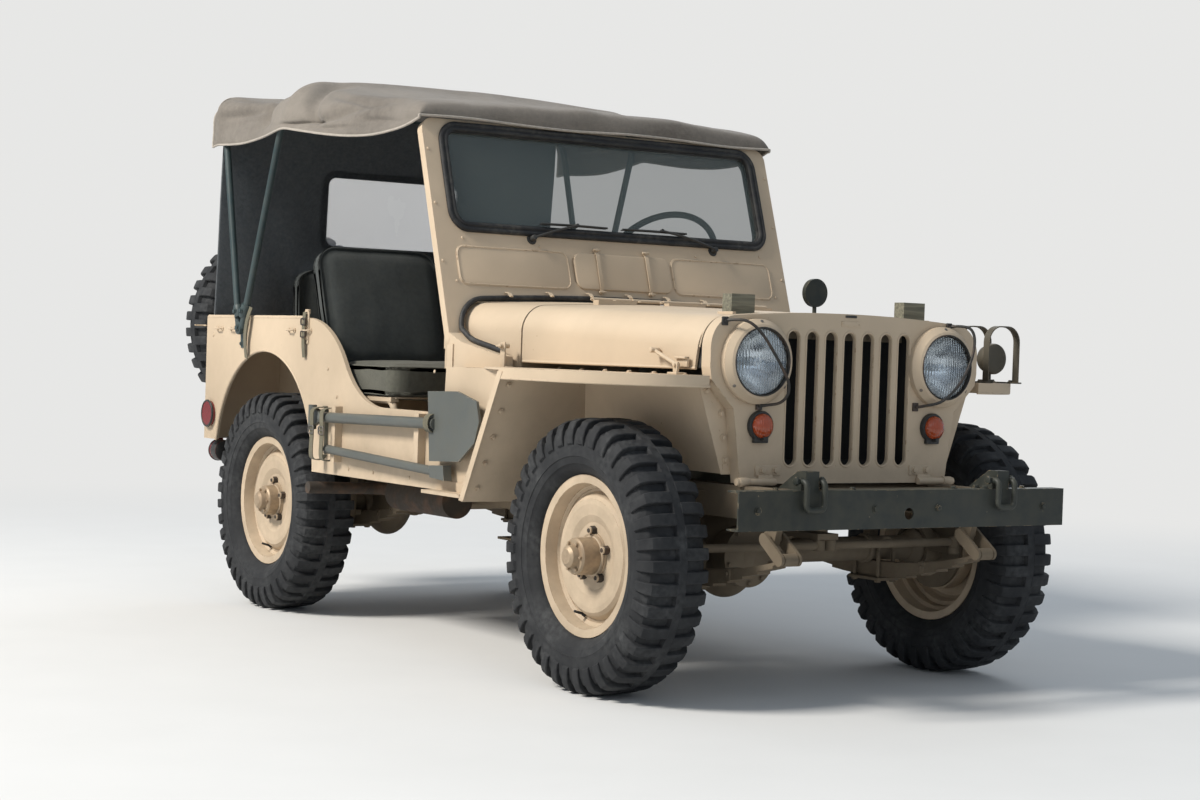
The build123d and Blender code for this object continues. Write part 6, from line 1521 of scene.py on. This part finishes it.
class ARMYCAR_OT_cabin(bpy.types.Operator):
    """Build the gauges, switches, pedals and levers, and the floor's ribs and bolts"""

    bl_idname = "armycar.cabin"
    bl_label = "Cabin"

    def execute(self, context):
        bezels, dials, knobs = bmesh.new(), bmesh.new(), bmesh.new()
        face = -0.1685
        gauges = ((0.0, 1.01, 0.044), (-0.105, 1.04, 0.026), (0.105, 1.04, 0.026), (-0.105, 0.978, 0.026),
                  (0.105, 0.978, 0.026))
        for x, z, radius in gauges:
            ring = ((face, radius - 0.003), (face, radius + 0.003), (face + 0.006, radius + 0.002),
                    (face + 0.008, radius - 0.002),
                    (face + 0.004, radius - 0.004), (face, radius - 0.003))
            add_lathe(bezels, ring, facing_back(x, 0, z), steps=36)
            add_bar(dials, (x, face - 0.001, z), (x, face + 0.003, z), radius - 0.003, sides=36)
            turn = 2.2 + x * 7 + z
            pivot = Vector((x, face + 0.0045, z))
            pointer = Vector((math.cos(turn), 0, math.sin(turn))) * radius * 0.72
            add_bar(bezels, pivot, pivot + pointer, 0.0012, 0.0005, sides=8)
            add_bar(bezels, (x, face + 0.002, z), (x, face + 0.0065, z), 0.0035, sides=14)
        for x, z in ((-0.2, 1.02), (-0.235, 0.985), (-0.2, 0.96), (0.18, 1.03), (0.215, 0.965),
                     (-0.03, 0.945), (0.035, 0.945)):
            add_bar(knobs, (x, face, z), (x, face + 0.016, z), 0.0045, sides=14)
            add_bar(knobs, (x, face + 0.014, z), (x, face + 0.026, z), 0.0105, 0.0085, sides=20, bevel=0.002)
        finish_piece("gauge_rings", bezels, "steel", angle=35)
        finish_piece("gauge_dials", dials, "black plastic", angle=35)
        tunnel = 0.538
        levers = ((-0.02, -0.06, 0.33, 0.075, 0.02, 0.019), (-0.105, 0.01, 0.21, 0.04, -0.01, 0.014),
                  (-0.15, 0.015, 0.21, 0.045, -0.02, 0.014))
        for x, y, tall, lean, side_lean, ball in levers:
            foot = Vector((x, y, tunnel))
            top = foot + Vector((side_lean, lean, tall))
            add_bar(knobs, foot - Vector((0, 0, 0.004)), foot + Vector((0, 0, 0.022)), 0.04, 0.018, sides=28,
                    bevel=0.003)
            add_tube(knobs, flowing((foot, foot + Vector((0, 0.005, tall * 0.4)), top), 5), 0.0068,
                     resolution=2)
            bmesh.ops.create_uvsphere(knobs, u_segments=20, v_segments=12, radius=ball,
                                      matrix=Matrix.Translation(top))
        for x in (0.245, 0.335, 0.43):
            tall = 0.085 if x < 0.4 else 0.11
            add_tube(knobs, flowing(((x, -0.525, 0.7), (x, -0.47, 0.68), (x, -0.43, 0.635)), 5), 0.0075,
                     resolution=2)
            place = Matrix.Translation((x, -0.425, 0.625)) @ Matrix.Rotation(math.radians(-48), 4, "X")
            add_box(knobs, (-0.032, -0.006, -tall / 2), (0.032, 0.006, tall / 2), 0.005, place)
            for number in range(4):
                z = (number - 1.5) * tall / 5
                add_box(knobs, (-0.027, 0.005, z - 0.003), (0.027, 0.0085, z + 0.003), 0.001, place)
        stem = ((-0.075, -0.175, 0.935), (-0.078, -0.13, 0.93), (-0.078, -0.105, 0.928))
        grip = ((-0.105, -0.105, 0.926), (-0.078, -0.1, 0.928), (-0.051, -0.105, 0.926))
        for line, radius in ((stem, 0.007), (grip, 0.008)):
            add_tube(knobs, flowing(line, 4), radius, resolution=2)
        finish_piece("levers_and_pedals", knobs, "black plastic", angle=40)
        bm = bmesh.new()
        for number in range(10):
            y = -0.36 + number * 0.085
            for side in (-1, 1):
                add_box(bm, (side * 0.22, y, 0.5358), (side * 0.62, y + 0.02, 0.541), 0.0018)
        finish_piece("floor_ribs", bm, "sand", angle=35)
        bm = bmesh.new()
        for side in (-1, 1):
            for y in (0.7, 0.95, 1.2, 1.36):
                add_bolt(bm, (side * 0.455, y, 0.925), ABOVE, 0.006, 0.0035)
        for x in (-0.6, -0.3, 0.0, 0.3, 0.6):
            add_bolt(bm, (x, 0.5, 0.596), ABOVE, 0.006, 0.0035)
        finish_piece("floor_bolts", bm, "sand", angle=30)
        return {"FINISHED"}


# Underside

SPRING_X = 0.35
# How far each leaf reaches from the axle, as a share of the longest
LEAVES = (1.0, 0.92, 0.78, 0.64, 0.5, 0.36)


class ARMYCAR_OT_underside(bpy.types.Operator):
    """Build the spring clips, axle bolts, brake pipes, fan and the engine's fittings"""

    bl_idname = "armycar.underside"
    bl_label = "Underside"

    def execute(self, context):
        bm = bmesh.new()
        for y in AXLE_Y.values():
            for side in (-1, 1):
                x = side * SPRING_X
                for along in (-0.052, 0.052):
                    for out in (-0.029, 0.029):
                        add_bar(bm, (x + out, y + along, 0.296), (x + out, y + along, 0.372), 0.0062,
                                sides=12)
                        add_bolt(bm, (x + out, y + along, 0.29), (0, 0, -1), 0.01, 0.008)
                    arc = [(x + 0.029 * math.cos(turn), y + along, 0.374 + 0.04 * math.sin(turn))
                           for turn in (0, 0.5, 1.0, 1.571, 2.14, 2.64, math.pi)]
                    add_tube(bm, arc, 0.0062, resolution=3)
                add_box(bm, (x - 0.042, y - 0.068, 0.286), (x + 0.042, y + 0.068, 0.296), 0.003)
                for share in (0.5,) if y < 0 else (0.5, 0.7):
                    for towards in (-1, 1):
                        along = y + towards * 0.465 * share
                        top = 0.3417 + 0.062 * share ** 2
                        low = top - 0.0075 * sum(reach > share + 0.02 for reach in LEAVES)
                        add_box(bm, (x - 0.0245, along - 0.012, low - 0.003),
                                (x + 0.0245, along + 0.012, top + 0.0025), 0.0018)
                        for out in (1, -1):
                            add_bolt(bm, (x + out * 0.0245, along, (low + top) / 2 + 0.002), (out, 0, 0),
                                     0.0055, 0.0035, washer=False)
        for y, towards in ((AXLE_Y["front"], -1), (AXLE_Y["rear"], 1)):
            for spot in ring_points((-0.215, y + towards * 0.124, HUB_Z), 0.076, 10, start=0.3):
                add_bolt(bm, spot, (0, towards, 0), 0.0065, 0.005)
            for side in (-1, 1):
                add_bar(bm, (side * 0.3, y, HUB_Z), (side * 0.318, y, HUB_Z), 0.044, sides=28, bevel=0.003)
        finish_piece("spring_clips", bm, "underbody", angle=30)
        bm = bmesh.new()
        for side in (-1, 1):
            pipe = ((0.366, -1.33, 0.56), (0.374, -1.0, 0.56), (0.374, -0.6, 0.5), (0.374, 0.1, 0.49),
                    (0.374, 0.5, 0.5), (0.374, 0.72, 0.56), (0.374, 1.25, 0.565))
            add_tube(bm, flowing(mirrored(side, pipe), 5), 0.0034, resolution=2)
        finish_piece("brake_pipes", bm, "underbody", recalculate=False)
        bm = bmesh.new()
        hub = Vector((0, -1.196, 0.8))
        add_bar(bm, hub, hub + Vector((0, 0.02, 0)), 0.034, sides=28, bevel=0.003)
        for number in range(4):
            turned = Matrix.Rotation(number * math.pi / 2 + 0.4, 4, "Y")
            pitched = Matrix.Rotation(math.radians(24), 4, "X")
            place = Matrix.Translation(hub + Vector((0, 0.01, 0))) @ turned @ pitched
            add_box(bm, (0.03, -0.0012, -0.024), (0.165, 0.0012, 0.03), 0.0006, place)
        for spot in ring_points(hub, 0.022, 6):
            add_bolt(bm, spot, FORWARD, 0.005, 0.004, washer=False)
        finish_piece("fan", bm, "engine", angle=30)
        bm = bmesh.new()
        for x in (-0.12, -0.04, 0.04, 0.12):
            for y in (-1.12, -0.96, -0.8, -0.64):
                add_bolt(bm, (x, y, 0.93), ABOVE, 0.0085, 0.007)
        for z in (0.86, 0.8):
            for y in (-1.1, -0.94, -0.78, -0.64):
                for x, out in ((-0.17, -1), (0.15, 1)):
                    add_bolt(bm, (x, y, z), (out, 0, 0), 0.0075, 0.006)
        add_box(bm, (-0.172, -1.165, 0.7), (0.152, -0.59, 0.706), 0.002)
        add_box(bm, (-0.168, -1.16, 0.926), (0.148, -0.595, 0.9345), 0.003)
        add_bar(bm, (0.08, -0.99, 0.93), (0.08, -0.99, 0.985), 0.058, 0.052, sides=36, bevel=0.006)
        add_bar(bm, (0.08, -0.99, 0.98), (0.08, -0.99, 0.994), 0.03, 0.026, sides=24, bevel=0.004)
        hose = [(-0.02, y, z) for y, z in ((-1.18, 0.9), (-1.205, 0.93), (-1.235, 0.985), (-1.25, 0.99))]
        add_tube(bm, flowing(hose, 5), 0.02, resolution=3)
        finish_piece("engine_fittings", bm, "engine", angle=35)
        return {"FINISHED"}


# Rear


class ARMYCAR_OT_rear(bpy.types.Operator):
    """Build the lamps' rims and bodies and the fittings on the rear panel"""

    bl_idname = "armycar.rear"
    bl_label = "Rear"

    def execute(self, context):
        bm = bmesh.new()
        wall = TUB_REAR_Y
        for side in (-1, 1):
            for z in (0.66, 0.78, 0.93):
                add_bolt(bm, (side * 0.69, wall, z), ALONG, 0.006, 0.004)
            add_tube(bm, [(side * 0.705, wall - 0.004, z) for z in (0.6, 0.8, 1.0)], 0.006)
        for x in (-0.55, -0.75, 0.32, 0.52):
            staple(bm, Vector((x, wall, 0.985)), ((-0.02, 0, 0), (-0.016, 0.012, 0), (0.016, 0.012, 0),
                                                  (0.02, 0, 0)))
        add_tube(bm, [(x, wall - 0.005, 1.0175) for x in (-0.7, 0, 0.7)], 0.007)
        add_tube(bm, [Vector((x, wall + 0.0002, z)) for x, z in round_rect((0.12, 0.8), (0.2, 0.12), 0.03)],
                 0.003, cyclic=True)
        finish_piece("rear_fittings", bm, "sand", angle=35)
        bm = bmesh.new()
        for side in (-1, 1):
            ring = ring_points((side * (TUB_HALF + 0.0125), wall - 0.05, 0.664), 0.0465, 24, "X")
            add_tube(bm, ring, 0.004, cyclic=True, resolution=3)
            lamp = Vector((side * 0.668, wall, 0.528))
            add_bar(bm, lamp - Vector((0, 0.0606, 0)), lamp - Vector((0, 0.015, 0)), 0.0388, sides=40,
                    bevel=0.003)
            ring = ring_points(lamp - Vector((0, 0.0045, 0)), 0.0375, 24)
            add_tube(bm, ring, 0.0035, cyclic=True, resolution=3)
        finish_piece("tail_lamp_bodies", bm, "black plastic", angle=35)
        return {"FINISHED"}


# Stage

CAMERA_PLACE = (-3.9276, -6.0258, 0.9346)
CAMERA_YAW = 0.5864
CAMERA_PITCH = -0.022
CAMERA_ROLL = 0.0335
CAMERA_LENS = 65.01
PALE = (0.8, 0.8, 0.79)
# Distances from the car between which the floor fades into the pale surroundings
FADE_NEAR = 2.4
FADE_FAR = 7.5


def add_light(name, place, aim, size, power, colour):
    """A soft rectangular lamp that points at a place."""
    data = bpy.data.lights.new(name, "AREA")
    data.shape = "RECTANGLE"
    data.size, data.size_y = size
    data.energy = power
    data.color = colour
    lamp = bpy.data.objects.new(name, data)
    lamp.location = place
    lamp.rotation_euler = (Vector(aim) - Vector(place)).to_track_quat("-Z", "Y").to_euler()
    bpy.context.scene.collection.objects.link(lamp)
    return lamp


class ARMYCAR_OT_stage(bpy.types.Operator):
    """Build the floor, the lamps, the pale surroundings and the camera"""

    bl_idname = "armycar.stage"
    bl_label = "Stage"

    def execute(self, context):
        scene = context.scene
        bm = bmesh.new()
        bmesh.ops.create_grid(bm, x_segments=1, y_segments=1, size=30.0)
        mesh = bpy.data.meshes.new("floor")
        bm.to_mesh(mesh)
        bm.free()
        floor = bpy.data.objects.new("floor", mesh)
        scene.collection.objects.link(floor)
        material, tree, shader = new_material("floor")
        tone = blend(tree, noise_value(tree, 3.0, 6.0), (0.66, 0.66, 0.65), (0.7, 0.7, 0.69))
        feed(tree, shader, {"Base Color": tone, "Roughness": 0.9, "Specular IOR Level": 0.15})
        away = put(tree, "VectorMath", {0: object_place(tree)}, operation="LENGTH").outputs["Value"]
        far = put(tree, "MapRange", {"Value": away, "From Min": FADE_NEAR, "From Max": FADE_FAR},
                  interpolation_type="SMOOTHSTEP").outputs[0]
        seen = maths(tree, "MULTIPLY", far, put(tree, "LightPath").outputs["Is Camera Ray"])
        haze = put(tree, "Emission", {"Color": (*PALE, 1.0), "Strength": 1.0})
        mix = put(tree, "MixShader", {0: seen, 1: shader.outputs[0], 2: haze.outputs[0]})
        tree.links.new(mix.outputs[0], tree.nodes["Material Output"].inputs["Surface"])
        mesh.materials.append(material)
        key = add_light("key", (-10.0, 1.0, 9.4), (0.0, 0.0, 0.8), (3.2, 3.2), 2150, (1.0, 0.955, 0.89))
        fill = add_light("fill", (-1.5, -7.5, 3.2), (0.0, -0.6, 0.8), (5.0, 3.0), 34, (0.86, 0.93, 1.0))
        rim = add_light("rim", (8.2, 6.8, 7.5), (0.0, 0.2, 1.0), (5.5, 5.5), 340, (0.92, 0.96, 1.0))
        world = bpy.data.worlds.new("surroundings")
        scene.world = world
        world.use_nodes = True
        nodes = world.node_tree
        nodes.nodes.clear()
        path = put(nodes, "LightPath")
        soft = put(nodes, "Background", {"Color": (0.78, 0.88, 1.0, 1.0), "Strength": 0.46})
        seen = put(nodes, "Background", {"Color": (*PALE, 1.0), "Strength": 1.0})
        straight = path.outputs["Is Camera Ray"]
        mix = put(nodes, "MixShader", {0: straight, 1: soft.outputs[0], 2: seen.outputs[0]})
        out = put(nodes, "OutputWorld")
        nodes.links.new(mix.outputs[0], out.inputs["Surface"])
        data = bpy.data.cameras.new("camera")
        data.lens = CAMERA_LENS
        data.sensor_width = 36.0
        data.clip_end = 200.0
        camera = bpy.data.objects.new("camera", data)
        scene.collection.objects.link(camera)
        flat = Vector((math.sin(CAMERA_YAW), math.cos(CAMERA_YAW), 0.0))
        ahead = flat * math.cos(CAMERA_PITCH) + Vector((0.0, 0.0, math.sin(CAMERA_PITCH)))
        level = Vector((flat.y, -flat.x, 0.0))
        upright = level.cross(ahead)
        right = math.cos(CAMERA_ROLL) * level + math.sin(CAMERA_ROLL) * upright
        above = -math.sin(CAMERA_ROLL) * level + math.cos(CAMERA_ROLL) * upright
        turn = Matrix((right, above, -ahead)).transposed().to_4x4()
        camera.matrix_world = Matrix.Translation(CAMERA_PLACE) @ turn
        scene.camera = camera
        scene.view_settings.view_transform = "Standard"
        return {"FINISHED"}


class ARMYCAR_PT_panel(bpy.types.Panel):
    """Sizes, colours and steps of the car"""

    bl_idname = "ARMYCAR_PT_panel"
    bl_label = "Army 4x4 Car"
    bl_space_type = "VIEW_3D"
    bl_region_type = "UI"
    bl_category = "Army Car"

    def draw(self, context):
        layout = self.layout
        for group in (context.scene.army_colours, context.scene.army_sizes):
            column = layout.column()
            for key in group.__annotations__:
                column.prop(group, key)
        for operator in STEPS:
            layout.operator(operator.bl_idname)


STEPS = (ARMYCAR_OT_paint, ARMYCAR_OT_tyres, ARMYCAR_OT_canvas, ARMYCAR_OT_curtain, ARMYCAR_OT_seats,
         ARMYCAR_OT_hubs, ARMYCAR_OT_lamps, ARMYCAR_OT_grille, ARMYCAR_OT_guard_lamp, ARMYCAR_OT_wings,
         ARMYCAR_OT_windscreen, ARMYCAR_OT_sides, ARMYCAR_OT_cabin, ARMYCAR_OT_underside, ARMYCAR_OT_rear,
         ARMYCAR_OT_stage)
CLASSES = (ArmyCarColours, ArmyCarSizes, *STEPS, ARMYCAR_PT_panel)


def register():
    """Add the classes and the panel's values to Blender."""
    for item in CLASSES:
        bpy.utils.register_class(item)
    bpy.types.Scene.army_colours = bpy.props.PointerProperty(type=ArmyCarColours)
    bpy.types.Scene.army_sizes = bpy.props.PointerProperty(type=ArmyCarSizes)


def unregister():
    """Take the classes and values out again."""
    del bpy.types.Scene.army_colours
    del bpy.types.Scene.army_sizes
    for item in reversed(CLASSES):
        bpy.utils.unregister_class(item)


def main():
    """Build the whole car in order."""
    register()
    for operator in STEPS:
        getattr(bpy.ops.armycar, operator.bl_idname.split(".")[1])()


if __name__ == "__main__":
    main()
